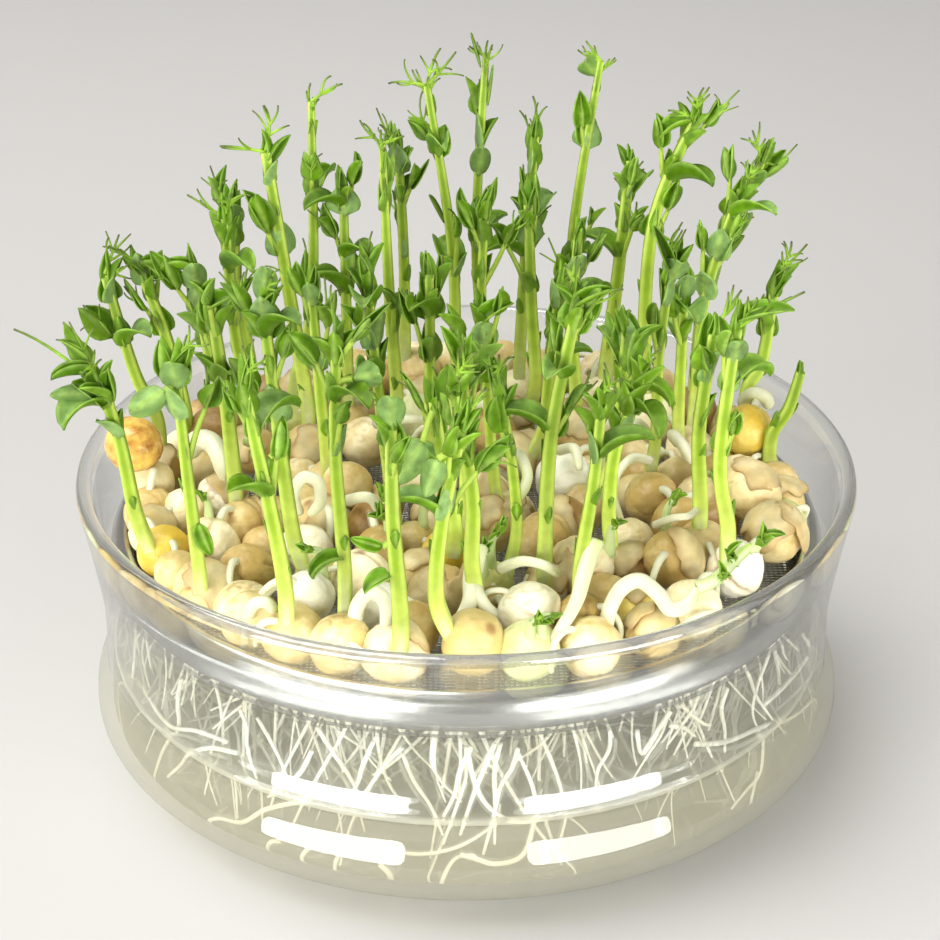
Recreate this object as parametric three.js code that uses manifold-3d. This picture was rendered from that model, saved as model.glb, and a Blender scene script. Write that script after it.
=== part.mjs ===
// Pea shoot microgreens growing in a clear glass sprouting bowl with a steel sieve insert.
// Millimetres, +Z up, the bowl stands on z = 0 and its axis is the Z axis. The front faces -Y.
import * as THREE from "three";
import { mergeVertices } from "three/addons/utils/BufferGeometryUtils.js";
import Module from "manifold-3d";

const wasm = await Module();
wasm.setup();

// ---- Driving dimensions ----
const RIM_R = 75; // outer radius of the glass rim
const BOWL_H = 59.4;
const WALL = 3;
const FLOOR_Z = 4;
const LEDGE_Z = 40.7; // step inside the glass that carries the sieve
const CLEAR = 0.3; // gap left between pieces that touch
const WATER_Z = 23;
const RING_OUT_R = 69.5;
const RING_IN_R = 65.4;
const RING_TOP_Z = 48.2;
const MESH_Z = 44.6; // underside of the mesh
const MESH_T = 0.8;
const PEA_R = 5.2; // mean radius of a swollen pea
const PEA_FIELD_R = 65; // pea centres stay inside this radius
const STEM_R = 1.55;
const HOLE_R = 2.15; // plain hole in the peas round each stem
const SEGMENTS = 34; // facets round the bowl
const TAU = 2 * Math.PI;

const COLOURS = {
  glass: 0xdfe6e2,
  water: 0xb4ae86,
  steel: 0xb9bbbd,
  mesh: 0x77736e,
  pea: 0xd9c08c,
  root: 0xe9e4c8,
  shoot: 0x8fc63d,
};

// ---- Small tools ----
// Seeded random numbers in 0..1 (mulberry32).
function randomFrom(seed) {
  let a = seed >>> 0;
  return () => {
    a = (a + 0x6d2b79f5) >>> 0;
    let t = Math.imul(a ^ (a >>> 15), a | 1);
    t ^= t + Math.imul(t ^ (t >>> 7), t | 61);
    return ((t ^ (t >>> 14)) >>> 0) / 4294967296;
  };
}

// A closed three.js geometry as a solid that can be joined or cut.
function solid(geometry) {
  const bare = geometry.index ? geometry.toNonIndexed() : geometry.clone();
  bare.deleteAttribute("normal");
  bare.deleteAttribute("uv");
  const welded = mergeVertices(bare, 1e-4);
  const corners = welded.index.array;
  const kept = [];
  for (let i = 0; i < corners.length; i += 3) {
    const [a, b, c] = corners.slice(i, i + 3);
    if (a !== b && b !== c && a !== c) kept.push(a, b, c);
  }
  const build = (triVerts) =>
    new wasm.Manifold(
      new wasm.Mesh({
        numProp: 3,
        vertProperties: new Float32Array(welded.attributes.position.array),
        triVerts: new Uint32Array(triVerts),
      }),
    );
  const made = build(kept);
  return made.volume() < 0 ? build(kept.reverse()) : made;
}

// A solid as a named mesh with its own material.
function piece(name, shape, colour, look = {}) {
  const mesh = shape.getMesh();
  const geometry = new THREE.BufferGeometry();
  geometry.setAttribute(
    "position",
    new THREE.BufferAttribute(new Float32Array(mesh.vertProperties), 3),
  );
  geometry.setIndex(new THREE.BufferAttribute(new Uint32Array(mesh.triVerts), 1));
  geometry.computeVertexNormals();
  const material = new THREE.MeshStandardMaterial({ color: colour, roughness: 0.6, ...look });
  const made = new THREE.Mesh(geometry, material);
  made.name = name;
  return made;
}

// A profile of [radius, height] points turned round the Z axis.
function turned(points, segments = SEGMENTS) {
  const profile = points.map(([r, z]) => new THREE.Vector2(r, z));
  return solid(new THREE.LatheGeometry(profile, segments).rotateX(Math.PI / 2));
}

function cylinder(x, y, z0, z1, r, sides) {
  const g = new THREE.CylinderGeometry(r, r, z1 - z0, sides);
  return solid(g.rotateX(Math.PI / 2).translate(x, y, (z0 + z1) / 2));
}

// A round rod along a smooth curve through the points, thinner towards its end by `taper`.
function rod(points, r, sides, steps, taper = 0) {
  const path = new THREE.CatmullRomCurve3(points.map((p) => new THREE.Vector3(...p)));
  const outline = new THREE.Shape(
    Array.from({ length: sides }, (_, i) => {
      const a = (TAU * i) / sides;
      return new THREE.Vector2(r * Math.cos(a), r * Math.sin(a));
    }),
  );
  const g = new THREE.ExtrudeGeometry(outline, { steps, extrudePath: path });
  if (!taper) return solid(g);
  const stations = path.getSpacedPoints(steps);
  const at = g.attributes.position;
  const v = new THREE.Vector3();
  for (let i = 0; i < at.count; i++) {
    v.fromBufferAttribute(at, i);
    let near = 0;
    stations.forEach((s, k) => {
      if (s.distanceTo(v) < stations[near].distanceTo(v)) near = k;
    });
    v.lerp(stations[near], (taper * near) / steps);
    at.setXYZ(i, v.x, v.y, v.z);
  }
  return solid(g);
}

const union = (solids) => wasm.Manifold.union(solids);

// The biggest body of a solid: scraps left by a cut are dropped.
function biggest(shape) {
  return shape.decompose().reduce((a, b) => (b.volume() > a.volume() ? b : a));
}

// ---- Glass bowl: one blown piece, belly below, waist, then a flared rim with a step inside ----
const BASE_R = 46;
const BELLY_R = 74.1;
const BELLY_Z = 11;

// Bottom corner of the bowl, a rounded quarter from the flat base up to the belly.
function corner(inset, floor, steps) {
  return Array.from({ length: steps + 1 }, (_, i) => {
    const a = (Math.PI / 2) * (i / steps);
    const r = BASE_R - inset + (BELLY_R - BASE_R) * Math.sin(a) ** 1.09;
    return [r, floor + (BELLY_Z + 1 - floor) * (1 - Math.cos(a) ** 1.09)];
  });
}
const outside = [
  ...corner(0, 0, 4),
  [73.8, 15.6],
  [71.9, 20],
  [71.45, 27],
  [71.6, 36],
  [73.3, 48],
  [RIM_R, 57.6],
];
const rim = [
  [RIM_R - 0.7, BOWL_H],
  [RIM_R - 2.3, BOWL_H],
];
const inside = [
  [72, 57.6],
  [70.4, 47],
  [70.1, LEDGE_Z],
  [68.2, LEDGE_Z - 0.4],
  [68.3, 26],
  [70.2, 19],
  ...corner(WALL, FLOOR_Z, 3).reverse(),
];
const glassBowl = turned([[0, 0], ...outside, ...rim, ...inside, [0, FLOOR_Z]]);

// ---- Root bundles: where they pass the mesh and reach the water ----
const CROWNS = [
  [-36, -42], [-20, -53], [-4, -57], [12, -55], [33, -46], [-24, -34], [5, -38],
  [-50, -12], [48, -8], [-8, -4], [28, 18], [-28, 30], [6, 46],
];
const WET_CROWNS = [0, 1, 2, 3, 4, 6, 7, 8, 9, 10, 11];
const WELL_R = 5.5; // plain hole in the water round a bundle
const WELL_Z = 8;

// ---- Water: a shallow pool in the belly, with plain holes for the root bundles ----
function pool() {
  const side = corner(WALL + CLEAR, FLOOR_Z + CLEAR, 3);
  const body = turned([
    [0, FLOOR_Z + CLEAR],
    ...side,
    [70.2 - CLEAR, 19],
    [69, WATER_Z],
    [0, WATER_Z],
  ]);
  const wells = WET_CROWNS.map((i) => cylinder(...CROWNS[i], WELL_Z, WATER_Z + 2, WELL_R, 7));
  return body.subtract(union(wells));
}

// ---- Steel sieve: a rolled ring with an inner lip, and a woven disc clamped on the lip ----
const sieveRing = turned([
  [RING_IN_R, RING_TOP_Z - 1.2],
  [RING_IN_R, MESH_Z - CLEAR],
  [RING_IN_R - 2, MESH_Z - CLEAR],
  [RING_IN_R - 2, MESH_Z - 1.3],
  [RING_IN_R + 1, LEDGE_Z + CLEAR],
  [RING_OUT_R - 0.8, LEDGE_Z + CLEAR],
  [RING_OUT_R, LEDGE_Z + 2],
  [RING_OUT_R, RING_TOP_Z - 2],
  [RING_OUT_R - 1.2, RING_TOP_Z],
  [RING_IN_R + 0.8, RING_TOP_Z],
  [RING_IN_R, RING_TOP_Z - 1.2],
]);

const NECK_R = 1.3; // a root bundle where it passes the mesh
const disc = cylinder(0, 0, MESH_Z, MESH_Z + MESH_T, RING_IN_R - CLEAR, SEGMENTS);
const sieveMesh = disc.subtract(
  union(CROWNS.map(([x, y]) => cylinder(x, y, MESH_Z - 1, MESH_Z + 2, NECK_R + 0.6, 6))),
);

// ---- Roots: a bundle under each crown, tied to its neighbours by runners under the mesh ----
const STRANDS = 3;
const RUNNER_Z = 42.2;
function roots() {
  const random = randomFrom(41);
  const parts = [];
  CROWNS.forEach(([x, y], i) => {
    const wet = WET_CROWNS.includes(i);
    parts.push(cylinder(x, y, RUNNER_Z - 1, MESH_Z + MESH_T, NECK_R, 6));
    for (let k = 0; k < STRANDS; k++) {
      const a = (TAU * (k + random())) / STRANDS;
      const reach = (wet ? 3.9 : 7) * (0.55 + 0.45 * random());
      const end = wet ? WELL_Z + 1 + 9 * random() : WATER_Z + 2 + 7 * random();
      const at = (share, z, turn) => [
        x + reach * share * Math.cos(a + turn),
        y + reach * share * Math.sin(a + turn),
        z,
      ];
      const drop = RUNNER_Z - end;
      parts.push(
        rod(
          [
            [x, y, RUNNER_Z + 0.6],
            at(0.7, RUNNER_Z - 0.2 * drop, 0),
            at(1, RUNNER_Z - 0.6 * drop, 0.5),
            at(0.6, end, 0.8),
          ],
          0.6,
          3,
          2,
          0.3,
        ),
      );
    }
    // a runner to the nearest crown that comes later in the list
    const later = CROWNS.slice(i + 1)
      .map(([u, v]) => [u, v, Math.hypot(u - x, v - y)])
      .sort((p, q) => p[2] - q[2])
      .slice(0, 1);
    for (const [u, v] of later) {
      const sag = RUNNER_Z - 1 - 1.5 * random();
      const bow = 3 * (random() - 0.5);
      parts.push(
        rod(
          [
            [x, y, RUNNER_Z],
            [(x + u) / 2 + bow, (y + v) / 2 - bow, sag],
            [u, v, RUNNER_Z],
          ],
          0.6,
          3,
          3,
        ),
      );
    }
  });
  return biggest(union(parts));
}

// ---- Peas: a fused bed of swollen seeds, the ones in plain view placed one by one ----
// x, y, height of the centre above the mesh, radius
const SEEN_PEAS = [
  [-66, -2, 17, 5.6], [-63, -10, 6, 5.2], [-54, -10, 6, 5.0], [-46, -3, 6.5, 5.2],
  [-42, -14, 6, 5.0], [-47, -22, 6, 5.2], [-40, -33, 6.5, 5.4], [-57, -24, 5.5, 5.2],
  [-48, -41, 5.5, 5.6], [-61, -16, 5.5, 4.8], [-38, -45, 5.5, 5.2], [-28, -44, 8, 5.0],
  [-54, 26, 8, 5.0], [-63, 9, 6, 5.0], [-26, 2, 7, 5.2], [-23, 22, 8, 5.2],
  [-18, -35, 6.5, 5.4], [-15, -46, 6, 5.2], [-5, -10, 6, 5.2], [-3, -27, 7, 5.2],
  [-4, -39, 6, 5.0], [12, -50, 8.5, 5.6], [10, 8, 7, 5.0], [2, 0, 6, 5.0],
  [1, -58, 7, 5.8], [19, 1, 8, 5.4], [22, 27, 7, 5.0], [18, -14, 6, 5.2],
  [21, -32, 7.5, 5.6], [31, -20, 6, 5.0], [26, -40, 5.5, 5.2], [35, -7, 8.5, 5.0],
  [38, -31, 8, 5.6], [31, -46, 5.5, 5.0], [44, 15, 8, 5.0], [45, -4, 6, 5.0],
  [56, 12, 13, 5.2], [54, 2, 7, 5.2], [55, -9, 11, 5.8], [57, -22, 8, 5.8],
  [52, -35, 6.5, 5.2], [43, -47, 5.5, 5.4], [22, -58, 5.5, 5.2], [34, -54, 5.2, 5.0],
  [11, -62, 5.2, 5.2], [-40, -50, 5.2, 5.2], [-32, -56, 5.5, 5.4], [-22, -60, 5.5, 5.6],
  [-11, -62, 5.5, 5.6], [-29, -24, 6, 5.0], [-28, -12, 5.5, 5.2], [-18, -14, 5.5, 5.2],
  [-9, -49, 5.2, 5.0], [-37, -12, 5.5, 5.0], [-32, 14, 8, 5.0], [21, -49, 6, 5.0],
];
const FILLERS = 190; // places tried on a sunflower spiral between the peas above
const SMALL_FILLERS = 420; // places tried for smaller peas in the gaps that are left
const SMALL_PEA_R = 4.5;
const SMALL_GAP = 0.88; // a smaller pea keeps this share of two radii from the others
const TOUCH = 1.74; // centres of fused peas lie this many radii apart
const PEA_SWELL = 1.1; // corners of a faceted pea stand out this much
const GOLDEN = Math.PI * (3 - Math.sqrt(5));

// A pea's centre moved up off the mesh, and in until it clears the glass and the ring's edge.
function settled(x, y, z, r) {
  const size = r * PEA_SWELL;
  const height = Math.max(z, MESH_Z + MESH_T + CLEAR + size);
  const overRing = Math.min(height - RING_TOP_Z - CLEAR, size);
  const room = Math.min(
    PEA_FIELD_R + PEA_R - size,
    RING_IN_R - Math.sqrt(size ** 2 - overRing ** 2) + (overRing < size ? 0 : PEA_R),
  );
  const inward = Math.min(room / Math.hypot(x, y), 1);
  return new THREE.Vector3(x * inward, y * inward, height);
}

// Centres and radii of all peas: [x, y, z, r].
function peaPlaces() {
  const random = randomFrom(7);
  const bed = MESH_Z + MESH_T;
  const wanted = SEEN_PEAS.map(([x, y, h, r]) => [x, y, bed + h, r]);
  for (let i = 0; i < FILLERS; i++) {
    const away = PEA_FIELD_R * Math.sqrt((i + 0.5) / FILLERS);
    const x = away * Math.cos(i * GOLDEN) + 1.6 * (random() - 0.5);
    const y = away * Math.sin(i * GOLDEN) + 1.6 * (random() - 0.5);
    const r = PEA_R * (0.92 + 0.16 * random());
    const heap = y > -10 ? 2 + 4 * random() : 1.5 * random();
    const z = bed + CLEAR + r + heap * (away < 58);
    if (wanted.every((p) => Math.hypot(p[0] - x, p[1] - y, p[2] - z) > 1.72 * PEA_R)) {
      wanted.push([x, y, z, r]);
    }
  }
  for (let i = 0; i < SMALL_FILLERS; i++) {
    const away = PEA_FIELD_R * Math.sqrt((i + 0.5) / SMALL_FILLERS);
    const x = away * Math.sin(i * GOLDEN);
    const y = away * Math.cos(i * GOLDEN);
    const z = bed + SMALL_PEA_R * PEA_SWELL;
    const near = (p) => Math.hypot(p[0] - x, p[1] - y, p[2] - z) < SMALL_GAP * (p[3] + SMALL_PEA_R);
    if (!wanted.some(near)) wanted.push([x, y, z, SMALL_PEA_R]);
  }
  // the bed grows pea by pea: the loose one nearest to it is next, and is pushed up to it
  const loose = wanted.map(([x, y, z, r]) => ({ centre: settled(x, y, z, r), r }));
  const placed = [loose.shift()];
  while (loose.length) {
    const gap = (p, q) => p.centre.distanceTo(q.centre) - (TOUCH / 2) * (p.r + q.r);
    const nearest = (p) => placed.reduce((a, b) => (gap(p, b) < gap(p, a) ? b : a));
    const next = loose.reduce((a, b) => (gap(b, nearest(b)) < gap(a, nearest(a)) ? b : a));
    loose.splice(loose.indexOf(next), 1);
    const neighbour = nearest(next);
    const short = gap(next, neighbour);
    if (short > 0) {
      const push = neighbour.centre.clone().sub(next.centre).setLength(short);
      const { x, y, z } = next.centre.add(push);
      next.centre = settled(x, y, z, next.r);
    }
    placed.push(next);
  }
  return placed.map((p) => [p.centre.x, p.centre.y, p.centre.z, p.r]);
}

// ---- Shoots: foot x, y | knee x, y, z | tip x, y, z | habit ----
// habit: L leafy top, M the same with no tendril, B closed bud, T tendrils over a long bare neck,
// S short sprout
const SHOOTS = [
  [-60, -29, -62, -29, 78, -68, -30, 92, "L"],
  [-47, -45, -48, -45, 81, -49, -44, 102, "L"],
  [-61, 10, -65, 11, 72, -70, 12, 95, "B"],
  [-56, 14, -59, 15, 78, -64, 16, 94, "L"],
  [-47, 12, -50, 12, 75, -53, 12, 97, "M"],
  [-43, 20, -46, 21, 76, -47, 22, 104, "L"],
  [-31, -36, -33, -35, 84, -35, -34, 110, "L"],
  [-31, -55, -33, -55, 78, -37, -55, 104, "L"],
  [-32, 18, -35, 20, 86, -39, 22, 118, "B"],
  [-35, 28, -31, 29, 80, -30, 31, 122, "T"],
  [-24, 24, -24, 25, 82, -24, 26, 109, "M"],
  [-21, -50, -22, -50, 86, -21, -50, 109, "L"],
  [-14, -19, -16, -18, 82, -18, -17, 108, "M"],
  [-14, 16, -15, 17, 84, -16, 19, 117, "T"],
  [-11, -63, -12, -63, 80, -12, -62, 98, "L"],
  [-5, -59, -4, -58, 76, 0, -57, 96, "L"],
  [1, -47, 1, -46, 76, -3, -46, 99, "B"],
  [-2, -33, -4, -31, 72, -6, -29, 87, "M"],
  [9, -36, 8, -35, 76, 5, -34, 93, "L"],
  [5, -10, 4, -8, 76, 3, -7, 94, "M"],
  [14, -40, 15, -38, 84, 20, -37, 112, "L"],
  [20, -47, 22, -46, 78, 23, -46, 95, "B"],
  [26, -28, 27, -28, 76, 32, -28, 92, "L"],
  [37, 4, 37, 5, 78, 39, 6, 100, "L"],
  [36, 27, 37, 29, 96, 46, 31, 120, "L"],
  [42, 12, 42, 12, 76, 42, 13, 93, "M"],
  [43, -24, 42, -25, 78, 44, -25, 99, "L"],
  [47, -34, 45, -33, 76, 47, -33, 105, "L"],
  [47, 31, 49, 32, 82, 60, 33, 112, "L"],
  [46, 20, 47, 20, 84, 54, 21, 110, "L"],
  [57, 24, 60, 26, 68, 62, 28, 88, "B"],
  [60, 7, 63, 7, 66, 65, 7, 75, "S"],
  [-2, 36, -3, 38, 88, -8, 40, 122, "T"],
  [4, 44, 2, 45, 88, 4, 47, 126, "T"],
  [11, 37, 12, 39, 84, 14, 40, 115, "M"],
  [22, 43, 22, 45, 88, 27, 47, 125, "T"],
  [29, 36, 31, 37, 83, 33, 38, 110, "M"],
  [4, 26, 3, 26, 83, 4, 26, 105, "M"],
  [14, 27, 13, 27, 80, 12, 28, 104, "M"],
  [22, 20, 21, 21, 78, 22, 21, 100, "M"],
  [-7, 5, -7, 6, 76, -7, 8, 97, "M"],
  [15, 6, 16, 6, 74, 18, 7, 95, "M"],
  [28, -7, 29, -6, 73, 30, -5, 90, "M"],
  [-27, -3, -28, -2, 78, -29, -1, 99, "M"],
  [-44, -11, -45, -10, 78, -47, -9, 98, "M"],
  [-13, 43, -13, 44, 84, -14, 45, 110, "M"],
  [-45, 36, -47, 37, 78, -48, 38, 100, "M"],
  [0, -19, 0, -18, 73, -1, -17, 89, "M"],
];
const HABITS = {
  L: { leaves: [[0.68, 1], [0.86, 1], [0.97, 1]], tendrils: 1 },
  M: { leaves: [[0.7, 1], [0.86, 1], [0.97, 1]], tendrils: 0 },
  B: { leaves: [[0.7, 1], [0.97, 2]], tendrils: 1 },
  T: { leaves: [[0.55, 1], [0.72, 1]], tendrils: 3 },
  S: { leaves: [[0.97, 1]], tendrils: 0 },
};
const FOOT_Z = MESH_Z + MESH_T + CLEAR;
const EDGE_R = 62.5; // a foot outside this radius stands on the ring instead of the mesh
const BED_TOP = 62; // a stem runs straight up through the peas to here
const LEAF_L = 10;
const LEAF_W = 3.4; // half the width of a leaflet
const LEAF_T = 0.7;

// The stem's line: straight through the peas, then bent through the knee to the tip.
function stemPoints([fx, fy, kx, ky, kz, tx, ty, tz]) {
  const foot = Math.hypot(fx, fy) > EDGE_R ? RING_TOP_Z + CLEAR : FOOT_Z;
  const points = [[fx, fy, foot], [fx, fy, Math.min(BED_TOP, kz - 6)], [kx, ky, kz]];
  return [...points, [tx, ty, tz]];
}

// A folded ovate leaflet that grows from the origin along +X, turned by azimuth and pitch.
function leaflet(size, azimuth, pitch, fold, origin) {
  const length = LEAF_L * size;
  const half = LEAF_W * size;
  const outline = new THREE.Shape([
    new THREE.Vector2(0.4, 0),
    new THREE.Vector2(0.42 * length, -half),
    new THREE.Vector2(length, 0),
    new THREE.Vector2(0.42 * length, half),
  ]);
  const g = new THREE.ExtrudeGeometry(outline, { depth: LEAF_T, bevelEnabled: false });
  const at = g.attributes.position;
  for (let i = 0; i < at.count; i++) {
    at.setZ(i, at.getZ(i) - LEAF_T / 2 + fold * Math.abs(at.getY(i)));
  }
  g.rotateY(-pitch).rotateZ(azimuth).translate(...origin);
  return solid(g);
}

// One shoot. Leaflets and tendrils that would cross a shoot already standing are turned aside.
function shoot(row, index, standing) {
  const random = randomFrom(100 + index);
  const points = stemPoints(row);
  const path = new THREE.CatmullRomCurve3(points.map((p) => new THREE.Vector3(...p)));
  const { leaves, tendrils } = HABITS[row[8]];
  const stem = rod(points, STEM_R, 4, 4, 0.3);
  const parts = [stem];
  const addClear = (make, tries) => {
    for (let k = 0; k < tries; k++) {
      const made = make(k);
      if (standing.every((s) => made.intersect(s).isEmpty())) {
        parts.push(made);
        return;
      }
    }
  };
  let azimuth = random() * TAU;
  for (const [share, count] of leaves) {
    const from = path.getPointAt(share).toArray();
    azimuth += 1.7 + random();
    for (let side = 0; side < count; side++) {
      const size = (share > 0.9 ? 0.85 : 1) * (0.85 + 0.25 * random());
      const pitch = share > 0.9 ? 0.9 + 0.4 * random() : 0.15 + 0.6 * random();
      const turn = azimuth + side * Math.PI * 0.9;
      addClear((k) => leaflet(size, turn + 0.5 * k, pitch, 0.45, from), 12);
    }
  }
  const [bx, by, bz] = path.getPointAt(0.985).toArray();
  for (let t = 0; t < tendrils; t++) {
    const a = azimuth + 2.1 * t + random();
    const reach = 7 + 5 * random();
    addClear((k) => {
      const c = Math.cos(a + 0.6 * k);
      const s = Math.sin(a + 0.6 * k);
      return rod(
        [
          [bx - 0.5 * c, by - 0.5 * s, bz - 0.6],
          [bx + 0.35 * reach * c, by + 0.35 * reach * s, bz + 0.55 * reach],
          [bx + 0.85 * reach * c, by + 0.85 * reach * s, bz + 0.75 * reach],
        ],
        0.5,
        3,
        2,
        0.3,
      );
    }, 10);
  }
  return biggest(union(parts));
}

// ---- The whole object ----
const tray = new THREE.Group();
tray.name = "pea_shoot_tray";

const glassLook = { transparent: true, opacity: 0.35, roughness: 0.05 };
const waterLook = { transparent: true, opacity: 0.7, roughness: 0.1 };
const steelLook = { metalness: 0.9, roughness: 0.25 };
tray.add(piece("glass_bowl", glassBowl, COLOURS.glass, glassLook));
tray.add(piece("water", pool(), COLOURS.water, waterLook));
tray.add(piece("sieve_ring", sieveRing, COLOURS.steel, steelLook));
tray.add(piece("sieve_mesh", sieveMesh, COLOURS.mesh, steelLook));
tray.add(piece("root_mat", roots(), COLOURS.root));

const standing = [];
SHOOTS.forEach((row, i) => {
  const grown = shoot(row, i, standing);
  standing.push(grown);
  tray.add(piece("shoot_" + String(i + 1).padStart(2, "0"), grown, COLOURS.shoot));
});

// A twenty-faced ball of a pea's volume.
function pea([x, y, z, r], i) {
  const g = new THREE.IcosahedronGeometry(r * PEA_SWELL).rotateZ(i).rotateX(0.7 * i);
  return solid(g.translate(x, y, z));
}
const bed = union(peaPlaces().map(pea));
const holes = SHOOTS.map(([x, y]) => cylinder(x, y, MESH_Z, 80, HOLE_R, 6));
tray.add(piece("pea_seeds", biggest(bed.subtract(union(holes))), COLOURS.pea));

export default tray;
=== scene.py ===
# Pea shoot microgreens in a clear glass sprouting bowl with a steel sieve, dressed for rendering.
# Piece sizes are in millimetres on the bowl's own axis, as in the part's source, and are turned
# into metres as each mesh is made. The front faces -Y and the bowl stands on z = 0.
import math
import random

import bmesh
import bpy
from mathutils import Matrix, Quaternion, Vector, noise


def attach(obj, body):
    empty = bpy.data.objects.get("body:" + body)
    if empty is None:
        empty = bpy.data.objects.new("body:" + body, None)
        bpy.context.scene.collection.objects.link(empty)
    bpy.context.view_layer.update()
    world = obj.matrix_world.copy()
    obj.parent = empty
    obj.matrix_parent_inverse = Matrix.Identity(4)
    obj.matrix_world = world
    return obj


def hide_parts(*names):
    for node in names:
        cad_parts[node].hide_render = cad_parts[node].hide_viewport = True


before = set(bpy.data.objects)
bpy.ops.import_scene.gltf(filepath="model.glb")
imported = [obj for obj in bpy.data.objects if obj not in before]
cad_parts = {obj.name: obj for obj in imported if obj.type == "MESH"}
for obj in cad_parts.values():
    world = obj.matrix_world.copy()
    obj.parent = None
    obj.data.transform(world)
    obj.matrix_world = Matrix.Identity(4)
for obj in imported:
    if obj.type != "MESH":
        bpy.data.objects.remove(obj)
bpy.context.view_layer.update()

# ---- Room: a plain pale floor and soft studio light ----
# Two low lamps stand left and right of the viewer, and one wide lamp hangs above. The low pair
# shows as two bars of light on the shoulder of the glass.
FLOOR_HALF = 3.0  # metres
FLOOR_COLOUR = (0.50, 0.49, 0.48, 1)
LAMP_COLOUR = (1, 0.995, 0.975)
BOWL_MIDDLE = Vector((0, 0, 0.04))  # metres


def lamp(name, shape, place, width, height, watts):
    """A soft studio lamp, in metres, turned to face the bowl."""
    light = bpy.data.lights.new(name, "AREA")
    light.shape = shape
    light.size = width
    light.size_y = height
    light.energy = watts
    light.color = LAMP_COLOUR
    made = bpy.data.objects.new(name, light)
    made.location = place
    aim = BOWL_MIDDLE - place
    made.rotation_euler = aim.to_track_quat("-Z", "Y").to_euler()
    bpy.context.scene.collection.objects.link(made)


def low_lamp(side, watts):
    """A low lamp left (-1) or right (1) of the viewer: a bar between two rounded ends, all
    equally bright."""
    place = Vector((side * 0.70, -0.93, 0.29))
    along = Vector((0.93, side * 0.70, 0)).normalized()
    bar, end, height = 0.74, 0.13, 0.46
    lamp(f"lamp_bar_{side}", "RECTANGLE", place, bar, height, watts)
    for way in (-1, 1):
        share = math.pi / 8 * end / bar
        ball = place + along * (way * bar / 2)
        lamp(f"lamp_end_{side}_{way}", "ELLIPSE", ball, end, height, watts * 2 * share)


def new_material(name):
    """An empty material, and the function that adds shader nodes to it."""
    made = bpy.data.materials.new(name)
    made.use_nodes = True
    tree = made.node_tree
    tree.nodes.clear()

    def add(kind, sockets=None, **settings):
        """A node. Each socket takes a fixed value, or a wire from an output, or from the first
        output of another node."""
        node = tree.nodes.new("ShaderNode" + kind)
        for setting, value in settings.items():
            setattr(node, setting, value)
        for socket, value in (sockets or {}).items():
            if isinstance(value, bpy.types.Node):
                value = value.outputs[0]
            if isinstance(value, bpy.types.NodeSocket):
                tree.links.new(value, node.inputs[socket])
            else:
                node.inputs[socket].default_value = value
        return node

    return made, add


def solid_finish(name, sockets):
    """A material with one plain shader."""
    made, add = new_material(name)
    add("OutputMaterial", {"Surface": add("BsdfPrincipled", sockets)})
    return made


def studio_floor():
    """The floor that the bowl stands on."""
    mesh = bpy.data.meshes.new("studio_floor")
    h = FLOOR_HALF
    mesh.from_pydata([(-h, -h, 0), (h, -h, 0), (h, h, 0), (-h, h, 0)], [], [(0, 1, 2, 3)])
    mesh.materials.append(solid_finish("floor_paint", {"Base Color": FLOOR_COLOUR, "Roughness": 0.75}))
    made = bpy.data.objects.new("studio_floor", mesh)
    bpy.context.scene.collection.objects.link(made)
    return made


studio_floor()
for side, watts in ((-1, 10.6), (1, 9.4)):
    low_lamp(side, watts)
lamp("lamp_above", "RECTANGLE", Vector((-0.45, 0.00, 1.20)), 0.80, 0.80, 17)

world = bpy.data.worlds.new("studio_air")
bpy.context.scene.world = world
world.use_nodes = True
world.node_tree.nodes["Background"].inputs["Color"].default_value = (1.0, 0.985, 0.955, 1)
world.node_tree.nodes["Background"].inputs["Strength"].default_value = 0.40
bpy.context.scene.view_settings.view_transform = "Standard"

# ---- Camera: a short telephoto that looks down on the front of the bowl ----
MM = 0.001
CAMERA_PLACE = (0.70 * MM, -380.6 * MM, 252.2 * MM)
CAMERA_TILT = 62.71  # degrees up from straight down
LENS = 84.26

camera = bpy.data.cameras.new("camera")
camera.lens = LENS
camera.sensor_width = 36
camera.clip_start = 0.01
viewer = bpy.data.objects.new("camera", camera)
viewer.location = CAMERA_PLACE
viewer.rotation_euler = (math.radians(CAMERA_TILT), 0, 0)
bpy.context.scene.collection.objects.link(viewer)
bpy.context.scene.camera = viewer

# ---- Glass bowl: one blown piece of clear soda glass ----
# A rounded belly stands on a flat base, a shoulder leads up to a waist, and the wall flares to a
# fire-polished rim. A step moulded inside the waist carries the sieve.
BASE_R = 46
BELLY_R = 74.1
BELLY_TOP = 12
RIM_R = 75
BOWL_H = 59.4
WALL = 3
GLASS_FLOOR = 4
LEDGE_Z = 40.7
BOWL_SIDES = 144
GLASS_TINT = (0.965, 0.985, 0.975, 1)
WET_TO = 22.6  # the outside looks wet up to this height
STEP_FOOT, STEP_TOP = 23.4, 28.4  # the bright shoulder inside, just above the water
RIM_FOOT = BOWL_H - 2.2
WATER_HAZE = (0.44, 0.425, 0.315, 1)


def bottom_corner(inset, floor, steps):
    """The rounded quarter from the flat base up to the belly, as radius and height."""
    points = []
    for i in range(steps + 1):
        a = math.pi / 2 * i / steps
        r = BASE_R - inset + (BELLY_R - BASE_R) * math.sin(a) ** 1.09
        points.append((r, floor + (BELLY_TOP - floor) * (1 - math.cos(a) ** 1.09)))
    return points


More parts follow.
